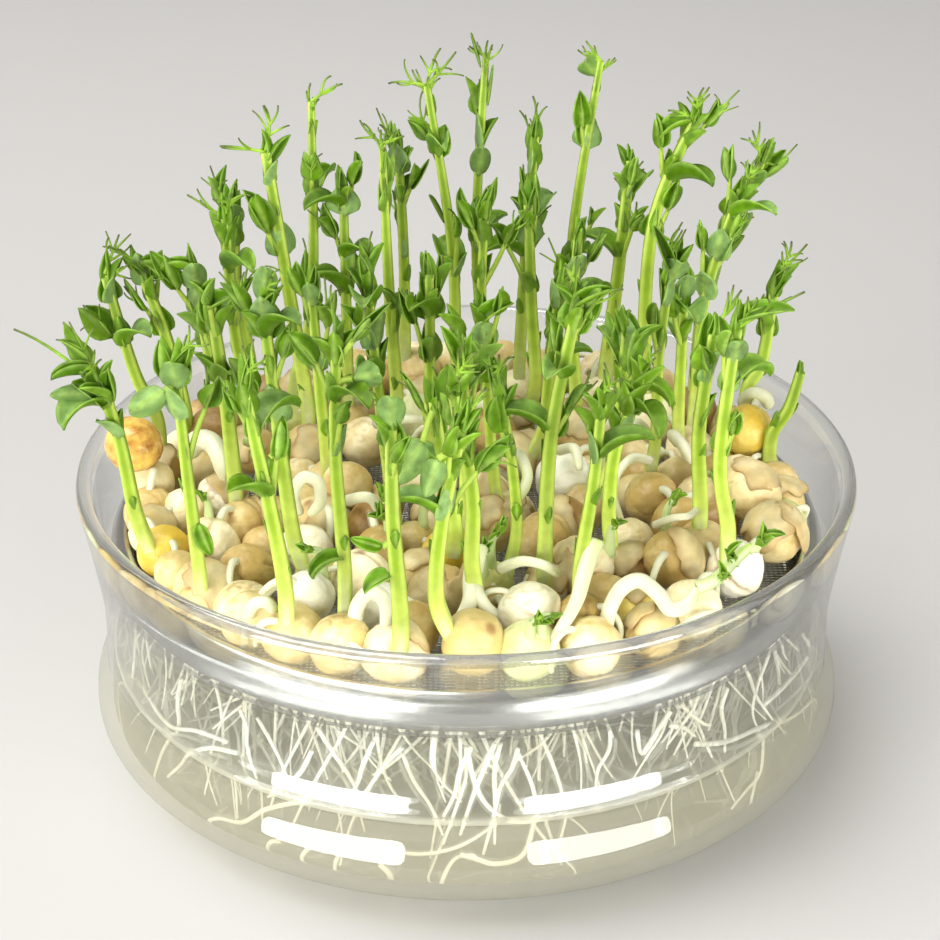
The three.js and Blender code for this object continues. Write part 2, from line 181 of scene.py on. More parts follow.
def smooth_line(points, steps):
    """A smooth line through the points, with so many short steps between each two."""
    made = []
    for i in range(len(points) - 1):
        a = Vector(points[max(i - 1, 0)])
        b = Vector(points[i])
        c = Vector(points[i + 1])
        d = Vector(points[min(i + 2, len(points) - 1)])
        for k in range(steps):
            t = k / steps
            bend = (2 * a - 5 * b + 4 * c - d) * t**2 + (3 * b - a - 3 * c + d) * t**3
            made.append((2 * b + (c - a) * t + bend) / 2)
    made.append(Vector(points[-1]))
    return made


def new_shape(tone=1.0):
    """An empty mesh in the making. tone is how light its leaves are, where it has any."""
    return {"vertices": [], "faces": [], "finish": [], "marks": {}, "tone": tone}


def turned(profile, sides):
    """A profile of radius and height, turned round the Z axis. It runs up on its outside and down
    on its inside. Points on the axis are poles, and one that starts off the axis is a closed ring."""
    shape = new_shape()
    rows = []
    for r, z in profile:
        start = len(shape["vertices"])
        around = 1 if r < 1e-6 else sides
        rows.append(range(start, start + around))
        for k in range(around):
            a = 2 * math.pi * k / sides
            shape["vertices"].append((r * math.cos(a), r * math.sin(a), z))
    closed = profile[0][0] > 1e-6
    for i in range(len(rows) - (0 if closed else 1)):
        low = rows[i]
        high = rows[(i + 1) % len(rows)]
        for k in range(sides):
            n = (k + 1) % sides
            ring = [low[k % len(low)], low[n % len(low)], high[n % len(high)], high[k % len(high)]]
            shape["faces"].append(list(dict.fromkeys(ring)))
    return shape


def new_piece(name, shape, materials, slot, *stands_for):
    mesh = bpy.data.meshes.new(name)
    mesh.from_pydata([[c * MM for c in v] for v in shape["vertices"]], [], shape["faces"])
    for material in materials:
        mesh.materials.append(material)
    if shape["finish"]:
        mesh.polygons.foreach_set("material_index", shape["finish"])
    mesh.polygons.foreach_set("use_smooth", [True] * len(mesh.polygons))
    for mark, values in shape["marks"].items():
        layer = mesh.attributes.new(mark, "FLOAT", "POINT")
        layer.data.foreach_set("value", values)
    mesh.update()
    made = bpy.data.objects.new(name, mesh)
    bpy.context.scene.collection.objects.link(made)
    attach(made, "root")
    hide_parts(*stands_for)


def glossed(add, body, least, most=1.0):
    """The body under a clear gloss that grows steeply towards its edges."""
    facing = add("LayerWeight", {"Blend": 0.5}).outputs["Facing"]
    steep = add("Math", {0: facing, 1: 5}, operation="POWER")
    share = add("MapRange", {"Value": steep, "To Min": least, "To Max": most})
    return add("MixShader", {0: share, 1: body, 2: add("BsdfGlossy", {"Roughness": 0.02})})


def clear_body(add, tint, bending):
    """A body that light passes through, bent."""
    clear = {"Base Color": tint, "Roughness": 0.0, "IOR": bending, "Transmission Weight": 1.0}
    return add("BsdfPrincipled", clear)


def show_clear(add, seen, straight):
    """Shows the surface, and lets lamp light go straight through it with no shadow."""
    shadow = add("LightPath").outputs["Is Shadow Ray"]
    add("OutputMaterial", {"Surface": add("MixShader", {0: shadow, 1: seen, 2: straight})})


def clear_glass(name, bent, gloss):
    """Clear glass. The share called bent passes it bent, as through solid glass, and the rest
    straight, as through a thin wall that mirrors at least the share called gloss."""
    made, add = new_material(name)
    straight = add("BsdfTransparent", {"Color": (0.985, 0.99, 0.985, 1)})
    thin = glossed(add, straight, gloss)
    show_clear(add, add("MixShader", {0: bent, 1: thin, 2: clear_body(add, GLASS_TINT, 1.48)}), straight)
    return made


def wet_glass():
    """The glass low down, where the cloudy water behind it shows right out to its edge."""
    made, add = new_material("wet_glass")
    clear = add("BsdfTransparent")
    haze = add("MixShader", {0: 0.26, 1: clear, 2: add("BsdfDiffuse", {"Color": WATER_HAZE})})
    show_clear(add, glossed(add, haze, 0.08, 0.5), clear)
    return made


belly_to_rim = [
    (BELLY_R, BELLY_TOP), (74.0, 14.4), (73.55, 16.2), (71.95, 19.8), (71.6, 21.6), (71.45, 26), (71.4, 30),
    (71.6, 36), (73.3, 48), (RIM_R, 57.6),
]
rim_bead = [(74.75, 58.7), (74.2, 59.25), (73.5, BOWL_H), (72.8, 59.25), (72.25, 58.7)]
rim_to_ledge = [(72, 57.6), (70.4, 47), (70.15, LEDGE_Z + 0.5)]
ledge = [(69.9, LEDGE_Z), (68.7, LEDGE_Z - 0.1), (68.25, LEDGE_Z - 0.6)]
ledge_to_belly = [
    (68.2, 38.5), (68.1, 33), (68.15, 28.6), (68.45, 26.8), (69.75, 24.0), (70.1, 21.5), (70.7, 17.5),
    (71.1, BELLY_TOP),
]

glass_outside = bottom_corner(0, 0, 18)[:-1] + smooth_line(belly_to_rim, 5)
glass_inside = smooth_line(rim_to_ledge, 6) + ledge + smooth_line(ledge_to_belly, 5)
glass_cavity = glass_inside + bottom_corner(WALL, GLASS_FLOOR, 16)[::-1][1:]
glass_profile = [(0, 0)] + glass_outside + rim_bead + glass_cavity + [(0, GLASS_FLOOR)]
glass = turned(glass_profile, BOWL_SIDES)
for i, (r, z) in enumerate(glass_profile[:-1]):
    outside = i <= len(glass_outside)
    on_step = not outside and STEP_FOOT < z < STEP_TOP
    finish = 1 if z > RIM_FOOT else 2 if outside and z < WET_TO else 3 if on_step else 0
    glass["finish"] += [finish] * BOWL_SIDES
glass_kinds = [
    clear_glass("clear_glass", 0.20, 0.045),
    clear_glass("rim_glass", 0.75, 0.14),
    wet_glass(),
    clear_glass("step_glass", 0.10, 0.20),
]
new_piece("glass_bowl_blown", glass, glass_kinds, "glass", "glass_bowl")

# ---- Water: a shallow pool, cloudy with starch from the roots ----
# It lies in the belly against the glass and climbs it a little at the edge.
WATER_Z = 23
WET = 0.12  # how far the water's skin lies inside the glass, so that no air shows between them
CLIMB = 0.9


def cloudy_water(name, haze, share):
    """Water as a clear body with a cloud over it: the haze's colour, and its share."""
    made, add = new_material(name)
    cloud = add("BsdfDiffuse", {"Color": haze})
    glow = add("BsdfTranslucent", {"Color": (0.55, 0.53, 0.40, 1)})
    starch = add("MixShader", {0: 0.45, 1: cloud, 2: glow})
    hazy = add("MixShader", {0: share, 1: clear_body(add, (0.93, 0.925, 0.85, 1), 1.33), 2: starch})
    show_clear(add, hazy, add("BsdfTransparent", {"Color": (0.93, 0.92, 0.84, 1)}))
    return made


wetted = [(r + WET, z) for r, z in smooth_line(ledge_to_belly, 5) if z < WATER_Z + CLIMB]
wetted += [(r + WET, z - WET) for r, z in bottom_corner(WALL, GLASS_FLOOR, 16)[::-1][1:]]
shore = wetted[0][0]
water_top = [
    (0, WATER_Z), (shore - 4, WATER_Z), (shore - 1.6, WATER_Z + 0.15), (shore - 0.6, WATER_Z + 0.45),
]
water = turned((water_top + wetted + [(0, GLASS_FLOOR - WET)])[::-1], BOWL_SIDES)
water_kinds = [
    cloudy_water("cloudy_water", WATER_HAZE, 0.38),
    cloudy_water("water_top_painted_lighter", (0.80, 0.78, 0.64, 1), 0.62),
]
# the top has the second finish, a paler and thicker haze: painted light on the water's surface, where it
# lies in shade under the peas
water["finish"] = [int(water["vertices"][max(face)][2] > WATER_Z - 0.2) for face in water["faces"]]
new_piece("cloudy_water", water, water_kinds, "water", "water")

# ---- Sieve ring: rolled and polished steel that rests on the step in the glass ----
# Its face is rounded over to the top edge, and a lip inside carries the woven disc.
RING_OUT_R = 69.5
RING_IN_R = 65.4
RING_TOP = 48.2
MESH_Z = 44.6
MESH_T = 0.8

ring_outline = [
    (RING_IN_R, 46.9), (65.9, 47.9), (66.9, RING_TOP), (67.9, 47.55), (68.65, 46.6), (69.2, 45.3),
    (69.45, 44.2), (RING_OUT_R, 43.3), (69.4, 42.3), (69.0, 41.5), (68.3, 41.05), (66.4, 41.1),
    (64.6, 42.4), (63.5, 43.4), (63.5, 44.25), (65.2, 44.3), (RING_IN_R, 44.9), (RING_IN_R, 46.9),
]
ring = turned(smooth_line(ring_outline, 4)[:0:-1], BOWL_SIDES)
polished_steel = solid_finish("polished_steel", {
    "Base Color": (0.53, 0.53, 0.51, 1), "Metallic": 1.0, "Roughness": 0.20,
})
new_piece("sieve_ring_rolled", ring, [polished_steel], "polished_steel", "sieve_ring")

# ---- Sieve mesh: fine steel wires woven square and clamped on the ring's lip ----
# The wires lie in two layers that touch, one across the other, and end just inside the ring.
WIRE_PITCH = 0.95
WIRE_R = 0.17
WIRE_SIDES = 5
WEAVE_R = RING_IN_R - 0.35


def speckle(add, scale, detail=2, roughness=0.5):
    """Cloudy noise that stays on its place on the piece."""
    place = add("TexCoord").outputs["Object"]
    return add("TexNoise", {"Vector": place, "Scale": scale, "Detail": detail, "Roughness": roughness})


def ramp(add, source, stops):
    """A colour ramp: the place and colour of each stop."""
    made = add("ValToRGB", {"Fac": source})
    ends = made.color_ramp.elements
    ends[0].position, ends[0].color = stops[0]
    ends[1].position, ends[1].color = stops[-1]
    for position, colour in stops[1:-1]:
        ends.new(position).color = colour
    return made


def steel_wire():
    """Fine steel, darker in patches."""
    made, add = new_material("steel_wire")
    stained = ramp(add, speckle(add, 120), [(0, (0.30, 0.28, 0.26, 1)), (1, (0.62, 0.61, 0.60, 1))])
    steel = add("BsdfPrincipled", {"Base Color": stained, "Metallic": 1.0, "Roughness": 0.34})
    add("OutputMaterial", {"Surface": steel})
    return made


def quads(first, rows, across, closed):
    """Faces between rows of points that follow each other."""
    for i in range(rows - 1):
        for k in range(across if closed else across - 1):
            a = first + i * across + k
            b = first + i * across + (k + 1) % across
            yield [a, b, b + across, a + across]


def woven_disc():
    """Straight wires side by side, one layer across the other."""
    shape = new_shape()
    count = int(WEAVE_R / WIRE_PITCH)
    for layer in (0, 1):
        z = MESH_Z + MESH_T / 2 + (layer - 0.5) * 2 * WIRE_R
        for i in range(-count, count + 1):
            off = i * WIRE_PITCH
            half = math.sqrt(WEAVE_R**2 - off**2)
            start = len(shape["vertices"])
            for end in (-half, half):
                for k in range(WIRE_SIDES):
                    a = 2 * math.pi * k / WIRE_SIDES
                    side = off + WIRE_R * math.cos(a)
                    up = z + WIRE_R * math.sin(a)
                    shape["vertices"].append((end, side, up) if layer else (side, end, up))
            near = list(range(start, start + WIRE_SIDES))
            wound = [*quads(start, 2, WIRE_SIDES, True), near[::-1], [k + WIRE_SIDES for k in near]]
            shape["faces"] += wound if layer else [face[::-1] for face in wound]
    return shape


new_piece("sieve_weave", woven_disc(), [steel_wire()], "woven_steel", "sieve_mesh")

# ---- Pea seeds: soaked whole peas, heaped on the mesh ----
# Each has swollen to about ten millimetres. Their skins are cream to tan, some are split or
# peeled to the white flesh, and a few have gone brown.
# x, y, height of the centre above the mesh, radius, skin
SEEN_PEAS = [
    (-66, -2, 17, 5.6, "amber"), (-63, -10, 6, 5.2, "tan"), (-54, -10, 6, 5.0, "cream"),
    (-46, -3, 6.5, 5.2, "white"), (-42, -14, 6, 5.0, "tan"), (-47, -22, 6, 5.2, "cream"),
    (-40, -33, 6.5, 5.4, "tan"), (-57, -24, 5.5, 5.2, "yellow"), (-48, -41, 5.5, 5.6, "cream"),
    (-61, -16, 5.5, 4.8, "green"), (-38, -45, 5.5, 5.2, "cream"), (-28, -44, 8, 5.0, "white"),
    (-54, 26, 8, 5.0, "brown"), (-63, 9, 6, 5.0, "tan"), (-26, 2, 7, 5.2, "tan"),
    (-23, 22, 8, 5.2, "tan"), (-18, -35, 6.5, 5.4, "cream"), (-15, -46, 6, 5.2, "white"),
    (-5, -10, 6, 5.2, "cream"), (-3, -27, 7, 5.2, "yellow"), (-4, -39, 6, 5.0, "brown"),
    (12, -50, 8.5, 5.6, "white"), (10, 8, 7, 5.0, "white"), (2, 0, 6, 5.0, "cream"),
    (1, -58, 7, 5.8, "cream"), (19, 1, 8, 5.4, "white"), (22, 27, 7, 5.0, "tan"),
    (18, -14, 6, 5.2, "brown"), (21, -32, 7.5, 5.6, "cream"), (31, -20, 6, 5.0, "cream"),
    (26, -40, 5.5, 5.2, "tan"), (35, -7, 8.5, 5.0, "tan"), (38, -31, 8, 5.6, "tan"),
    (31, -46, 5.5, 5.0, "yellow"), (44, 15, 8, 5.0, "cream"), (45, -4, 6, 5.0, "cream"),
    (56, 12, 13, 5.2, "yellow"), (54, 2, 7, 5.2, "cream"), (55, -9, 11, 5.8, "tan"),
    (57, -22, 8, 5.8, "tan"), (52, -35, 6.5, 5.2, "white"), (43, -47, 5.5, 5.4, "cream"),
    (22, -58, 5.5, 5.2, "cream"), (34, -54, 5.2, 5.0, "cream"), (11, -62, 5.2, 5.2, "green"),
    (-40, -50, 5.2, 5.2, "cream"), (-32, -56, 5.5, 5.4, "cream"), (-22, -60, 5.5, 5.6, "cream"),
    (-11, -62, 5.5, 5.6, "cream"), (-29, -24, 6, 5.0, "white"), (-28, -12, 5.5, 5.2, "tan"),
    (-18, -14, 5.5, 5.2, "brown"), (-9, -49, 5.2, 5.0, "tan"), (-37, -12, 5.5, 5.0, "tan"),
    (-32, 14, 8, 5.0, "cream"), (21, -49, 6, 5.0, "tan"),
]
HIDDEN_SKINS = ["cream", "tan", "cream", "white", "cream", "tan", "cream", "green", "cream", "brown"]
FILLERS = 190
SMALL_FILLERS = 420
SMALL_PEA_R = 4.5
SMALL_GAP = 0.80
PEA_R = 5.2
PEA_FIELD_R = 65
PEA_SWELL = 1.1
TOUCH = 1.74
SPACING = 1.72
CLEAR = 0.3
HEAP_R = 58  # the bed is heaped within this circle, and less so in front of HEAP_FRONT
HEAP_FRONT = -10
GOLDEN = math.pi * (3 - math.sqrt(5))
SKINS = {
    "cream": ((0.64, 0.49, 0.19, 1), (0.94, 0.85, 0.58, 1)),
    "tan": ((0.48, 0.33, 0.10, 1), (0.83, 0.69, 0.36, 1)),
    "white": ((0.80, 0.75, 0.54, 1), (0.97, 0.95, 0.85, 1)),
    "brown": ((0.30, 0.17, 0.05, 1), (0.66, 0.47, 0.19, 1)),
    "amber": ((0.26, 0.06, 0.004, 1), (0.90, 0.60, 0.14, 1)),
    "yellow": ((0.62, 0.42, 0.04, 1), (0.86, 0.72, 0.22, 1)),
    "green": ((0.52, 0.54, 0.18, 1), (0.80, 0.81, 0.46, 1)),
}


def steady_random(seed):
    """The same seeded numbers in 0..1 as the part's source draws (mulberry32)."""
    low = 0xFFFFFFFF
    state = [seed]

    def draw():
        state[0] = (state[0] + 0x6D2B79F5) & low
        a = state[0]
        t = ((a ^ (a >> 15)) * (a | 1)) & low
        t ^= (t + (((t ^ (t >> 7)) * (t | 61)) & low)) & low
        return ((t ^ (t >> 14)) & low) / 4294967296

    return draw


def settled(centre, r):
    """A pea's centre moved up off the mesh, and in until it clears the glass and the ring."""
    x, y, z = centre
    height = max(z, MESH_Z + MESH_T + r)
    over_ring = min(height - RING_TOP, r)
    room = PEA_FIELD_R + PEA_R - r * PEA_SWELL
    if over_ring < r:
        room = min(room, RING_IN_R - math.sqrt(r**2 - over_ring**2))
    inward = min(room / max(math.hypot(x, y), 1e-6), 1)
    return Vector((x * inward, y * inward, height))


def pea_places():
    """Centre, radius, skin and number of every pea. The bed grows pea by pea, each pushed up to it."""
    draw = steady_random(7)
    bed = MESH_Z + MESH_T
    wanted = [(x, y, bed + h, r, skin) for x, y, h, r, skin in SEEN_PEAS]
    for i in range(FILLERS):
        away = PEA_FIELD_R * math.sqrt((i + 0.5) / FILLERS)
        x = away * math.cos(i * GOLDEN) + 1.6 * (draw() - 0.5)
        y = away * math.sin(i * GOLDEN) + 1.6 * (draw() - 0.5)
        r = PEA_R * (0.92 + 0.16 * draw())
        heap = 2 + 4 * draw() if y > HEAP_FRONT else 1.5 * draw()
        z = bed + CLEAR + r + heap * (away < HEAP_R)
        if all(math.dist(p[:3], (x, y, z)) > SPACING * PEA_R for p in wanted):
            wanted.append((x, y, z, r, HIDDEN_SKINS[i % len(HIDDEN_SKINS)]))
    for i in range(SMALL_FILLERS):
        away = PEA_FIELD_R * math.sqrt((i + 0.5) / SMALL_FILLERS)
        x = away * math.sin(i * GOLDEN)
        y = away * math.cos(i * GOLDEN)
        z = bed + SMALL_PEA_R * PEA_SWELL
        if all(math.dist(p[:3], (x, y, z)) >= SMALL_GAP * (p[3] + SMALL_PEA_R) for p in wanted):
            wanted.append((x, y, z, SMALL_PEA_R, HIDDEN_SKINS[i % len(HIDDEN_SKINS)]))
    loose = [[settled(p[:3], p[3]), p[3], p[4], n] for n, p in enumerate(wanted)]
    placed = [loose.pop(0)]

    def gap(p, q):
        """How far two peas are from touching."""
        return (p[0] - q[0]).length - TOUCH / 2 * (p[1] + q[1])

    while loose:
        pairs = [min((gap(p, q), k) for k, q in enumerate(placed)) for p in loose]
        n = min(range(len(loose)), key=lambda k: pairs[k][0])
        pea = loose.pop(n)
        short, k = pairs[n]
        if short > 0:
            push = (placed[k][0] - pea[0]).normalized() * short
            pea[0] = settled(pea[0] + push, pea[1])
        placed.append(pea)
    return placed


def mark_on(add, mark):
    """A mark kept on the mesh, as a number for the shader."""
    return add("Attribute", attribute_name=mark).outputs["Fac"]


def mixed(add, share, first, second):
    """Two colours mixed."""
    return add("Mix", {"Factor": share, 6: first, 7: second}, data_type="RGBA").outputs[2]


def pea_skin(skin):
    """Thin, slightly waxy seed coat, blotched and finely wrinkled, with painted shade in its creases, over
    a pale body.
    """
    made, add = new_material("pea_skin_" + skin)
    dark, light = SKINS[skin]
    wet = skin == "amber"
    blotch = add("Math", {0: speckle(add, 170, 5, 0.6), 1: mark_on(add, "tone")}, operation="ADD")
    coat = ramp(add, blotch, [(0.44 if wet else 0.36, dark), (0.74, light)])
    coat = mixed(add, mark_on(add, "eye"), coat, (0.30, 0.15, 0.05, 1))
    # Folds and the split groove are darkened here: painted shade.
    coat = mixed(add, mark_on(add, "crease"), coat, (0.42, 0.29, 0.11, 1))
    shader = add("BsdfPrincipled", {
        "Base Color": coat, "Roughness": 0.16 if wet else 0.42, "Specular IOR Level": 0.40,
        "Subsurface Weight": 0.18, "Subsurface Radius": (0.004, 0.0025, 0.0012),
        "Normal": add("Bump", {"Height": speckle(add, 650, 3), "Strength": 0.35, "Distance": 0.0006}),
    })
    add("OutputMaterial", {"Surface": shader})
    return made


def ball(level):
    """Directions and faces of an evenly faceted unit ball."""
    work = bmesh.new()
    bmesh.ops.create_icosphere(work, subdivisions=level, radius=1)
    directions = [v.co.copy() for v in work.verts]
    faces = [[v.index for v in face.verts] for face in work.faces]
    work.free()
    return directions, faces


def any_way(rng, count=3):
    """Numbers for a random direction or turn."""
    return [rng.gauss(0, 1) for _ in range(count)]


def put(shape, spot, marks):
    """Adds a point with its marks."""
    shape["vertices"].append(spot)
    for mark, value in marks.items():
        shape["marks"].setdefault(mark, []).append(value)


def add_pea(shape, centre, r, number):
    """One pea: a swollen ball, dimpled, wrinkled along winding lines, with an eye. One in four
    shows the split between its halves."""
    rng = random.Random(900 + number)
    spin = Quaternion(any_way(rng, 4)).normalized()
    stretch = Vector([rng.uniform(0.93, 1.06) for _ in range(3)])
    shift = Vector([rng.uniform(0, 90) for _ in range(3)])
    tone = rng.uniform(-0.17, 0.17)
    eye_at = Vector(any_way(rng)).normalized()
    halves = eye_at.orthogonal().normalized()
    split = rng.choice((0.0, 0.0, 0.02, 0.10))
    wrinkled = rng.uniform(0.012, 0.055)
    directions, ball_faces = fine_ball if number < len(SEEN_PEAS) else pea_ball
    first = len(shape["vertices"])
    for d in directions:
        lump = 1 + 0.06 * noise.noise(d * 1.3 + shift) + 0.022 * noise.noise(d * 3.7 + shift)
        bend = d + 0.35 * noise.noise_vector(d * 1.7 + shift)
        fold = math.exp(-((noise.noise(bend * 1.9 + 2 * shift) / 0.07) ** 2))
        fold *= max(0, min(1, 0.5 + 1.6 * noise.noise(d * 1.1 + 3 * shift)))
        seam = (d.dot(halves) + 0.06 * noise.noise(d * 3 + shift)) / 0.07
        groove = math.exp(-(seam**2)) * max(0, min(1, 0.4 + 1.5 * d.dot(eye_at)))
        size = r * (lump - wrinkled * fold - split * groove)
        # The third mark darkens the folds and the split groove as painted shade.
        marks = {
            "tone": tone,
            "eye": 0.8 * math.exp(-(((1 - d.dot(eye_at)) / 0.022) ** 2)),
            "crease": min(1, 11 * wrinkled * fold + 7 * split * groove),
        }
        put(shape, centre + spin @ (d * stretch * size), marks)
    shape["faces"] += [[first + k for k in face] for face in ball_faces]


# noise_vector starts from the clock unless it is given a seed
noise.seed_set(7)
pea_ball = ball(4)
fine_ball = ball(5)
pea_shapes = {skin: new_shape() for skin in SKINS}
peas = pea_places()
for centre, r, skin, number in peas:
    add_pea(pea_shapes[skin], centre, r, number)
for skin, shape in pea_shapes.items():
    new_piece("peas_" + skin, shape, [pea_skin(skin)], "pea", "pea_seeds")

# ---- Roots: cream strands that hang from the mesh into the water ----
# They leave the mesh in bunches below the sprouted peas, cross each other, and curl along the
# glass where they reach it.
CROWNS = [
    (-36, -42), (-20, -53), (-4, -57), (12, -55), (33, -46), (-24, -34), (5, -38),
    (-50, -12), (48, -8), (-8, -4), (28, 18), (-28, 30), (6, 46), (-55, -26), (-10, -50),
    (20, -50), (-30, -50), (54, -30), (46, -42), (-46, -36), (-48, 34), (40, 40), (-16, 56), (22, 54),
    (56, 12), (-60, 8),
]
STRANDS_PER_CROWN = 13
NECK_R = 68.1  # the glass inside, where it is narrowest
# Long strands that lie along the glass: points on each
LONG_STRANDS = [
    [
        (-43, -51, 27), (-49, -46, 26), (-55, -41, 24), (-62, -26, 22), (-66, -18, 18), (-66, -22, 12),
        (-64, -34, 8),
    ],
    [(-52, -41, 34), (-53, -41, 29), (-53, -42, 24), (-56, -41, 18), (-59, -38, 8)],
    [(-41, -53, 26), (-46, -50, 25), (-50, -47, 22), (-52, -45, 18), (-55, -43, 14)],
    [(-40, -54, 36), (-39, -54, 32), (-39, -55, 28), (-37, -57, 22)],
    [(-27, -63, 23), (-31, -61, 21), (-36, -59, 18), (-40, -57, 14), (-45, -53, 12), (-50, -50, 8)],
    [(-37, -55, 35), (-34, -57, 30), (-32, -59, 26), (-31, -60, 23)],
    [(-26, -61, 37), (-23, -62, 32), (-20, -64, 28), (-18, -66, 24)],
    [(-11, -66, 35), (-9, -66, 29), (-6, -68, 25), (-4, -69, 20)],
    [(0, -67, 36), (0, -66, 30), (-2, -68, 24), (-4, -69, 18)],
    [(-27, -61, 32), (-29, -60, 27), (-32, -60, 24), (-35, -59, 21)],
    [(-16, -64, 36), (-18, -64, 31), (-19, -64, 27), (-22, -65, 23)],
    [(-11, -66, 36), (-14, -65, 32), (-17, -65, 27), (-19, -65, 25)],
    [(-33, -61, 13), (-35, -59, 11), (-36, -60, 7)],
    [(-27, -64, 14), (-29, -63, 11), (-28, -65, 7)],
    [(-22, -66, 14), (-23, -65, 11), (-23, -67, 7)],
    [(-15, -68, 13), (-13, -67, 10), (-13, -67, 7)],
    [(-5, -69, 8), (-4, -69, 11), (-2, -69, 15), (1, -69, 16), (2, -69, 15)],
    [(-13, -68, 16), (-8, -69, 16), (-3, -69, 17), (1, -69, 19), (5, -68, 22), (6, -67, 25)],
    [(-1, -69, 16), (2, -69, 15), (5, -69, 14), (9, -69, 15), (11, -68, 18), (12, -66, 26), (9, -66, 35)],
    [(1, -67, 37), (-1, -67, 32), (-2, -67, 27), (-4, -68, 23)],
    [(6, -66, 37), (5, -66, 32), (5, -67, 26), (5, -69, 18)],
    [(5, -66, 37), (3, -67, 32), (1, -67, 26), (-1, -69, 20)],
    [(0, -67, 37), (2, -67, 28), (5, -68, 24), (9, -68, 22), (13, -67, 22)],
    [(9, -66, 36), (8, -66, 32), (6, -66, 28), (5, -68, 24), (3, -69, 16)],
    [(25, -62, 37), (25, -62, 33), (23, -62, 28), (23, -65, 22)],
    [(36, -56, 37), (34, -57, 34), (31, -59, 30)],
    [(30, -59, 35), (31, -59, 30), (34, -57, 33)],
    [(36, -56, 34), (39, -54, 32), (41, -52, 29)],
    [(38, -54, 37), (42, -52, 32), (44, -50, 30)],
    [(47, -47, 36), (46, -48, 32), (47, -47, 27), (47, -49, 22)],
    [(41, -53, 28), (47, -48, 25), (54, -42, 24), (61, -32, 20), (66, -20, 16), (68, -17, 13)],
    [(55, -39, 27), (62, -28, 26), (66, -18, 24), (68, -12, 18), (69, -14, 12)],
    [(66, -16, 28), (68, -10, 20), (69, -10, 14)],
    [(54, -41, 23), (54, -44, 16), (51, -47, 14), (48, -50, 12)],
    [(53, -44, 16), (52, -45, 11), (51, -49, 7)],
]


def white_root():
    """Cream root tissue that lets some light through."""
    made, add = new_material("white_root")
    cream = [(0.35, (0.88, 0.85, 0.68, 1)), (0.65, (0.97, 0.96, 0.88, 1))]
    colour = ramp(add, speckle(add, 90, 3), cream)
    body = add("BsdfPrincipled", {"Base Color": colour, "Roughness": 0.45})
    glow = add("BsdfTranslucent", {"Color": colour})
    add("OutputMaterial", {"Surface": add("MixShader", {0: 0.25, 1: body, 2: glow})})
    return made


def add_tube(shape, line, radius_at, sides, mark=None, ribs=0.0):
    """A closed round tube along the line. radius_at and mark take the share run along it."""
    lengths = [0.0]
    for a, b in zip(line, line[1:]):
        lengths.append(lengths[-1] + (b - a).length)
    ahead = (line[1] - line[0]).normalized()
    side = ahead.orthogonal().normalized()
    first = len(shape["vertices"])
    for i, p in enumerate(line):
        now = (line[min(i + 1, len(line) - 1)] - line[max(i - 1, 0)]).normalized()
        side = (ahead.rotation_difference(now) @ side).normalized()
        ahead = now
        over = ahead.cross(side)
        share = lengths[i] / max(lengths[-1], 1e-6)
        r = radius_at(share)
        for k in range(sides):
            a = 2 * math.pi * k / sides
            rr = r * (1 + ribs * math.cos(4 * a))
            spot = p + side * (rr * math.cos(a)) + over * (rr * math.sin(a))
            put(shape, spot, mark(share, a) if mark else {})
    shape["faces"] += quads(first, len(line), sides, True)
    last = len(shape["vertices"]) - sides
    shape["faces"].append([first + k for k in range(sides)][::-1])
    shape["faces"].append([last + k for k in range(sides)])


def inside_glass(p, spare=1.2):
    """The point moved in where it would touch the wall or the floor of the bowl."""
    x, y, z = p
    z = max(z, GLASS_FLOOR + spare)
    wall = NECK_R - spare
    for (r0, z0), (r1, z1) in zip(glass_cavity, glass_cavity[1:]):
        if z1 <= z <= z0:
            wall = r1 + (r0 - r1) * (z - z1) / max(z0 - z1, 1e-6) - spare
    away = math.hypot(x, y)
    if away > wall:
        x *= wall / away
        y *= wall / away
    return Vector((x, y, z))


def grow_roots():
    """Strands that fan out below each crown, and the long ones along the glass."""
    rng = random.Random(41)
    shape = new_shape()
    for x, y in CROWNS:
        for _ in range(STRANDS_PER_CROWN):
            start = Vector((x + rng.uniform(-5, 5), y + rng.uniform(-4, 4), MESH_Z - 0.3))
            heading = rng.uniform(0, 2 * math.pi)
            reach = rng.uniform(3, 22)
            depth = rng.uniform(12, 38)
            curl = rng.uniform(-0.8, 0.8)
            line = [start]
            for share in (0.25, 0.5, 0.75, 1.0):
                a = heading + curl * share**2
                away = reach * share
                hang = Vector((away * math.cos(a), away * math.sin(a), -depth * share**0.85))
                line.append(inside_glass(start + hang))
            thick = rng.uniform(0.24, 0.46)
            add_tube(shape, smooth_line(line, 4), lambda s: thick * (1 - 0.55 * s**2), 6)
    for points in LONG_STRANDS:
        line = [inside_glass(p, 1.0) for p in smooth_line(points, 5)]
        thick = rng.uniform(0.36, 0.52)
        add_tube(shape, line, lambda s: thick * (1 - 0.45 * s**2), 7)
    return shape


new_piece("root_strands", grow_roots(), [white_root()], "root", "root_mat")

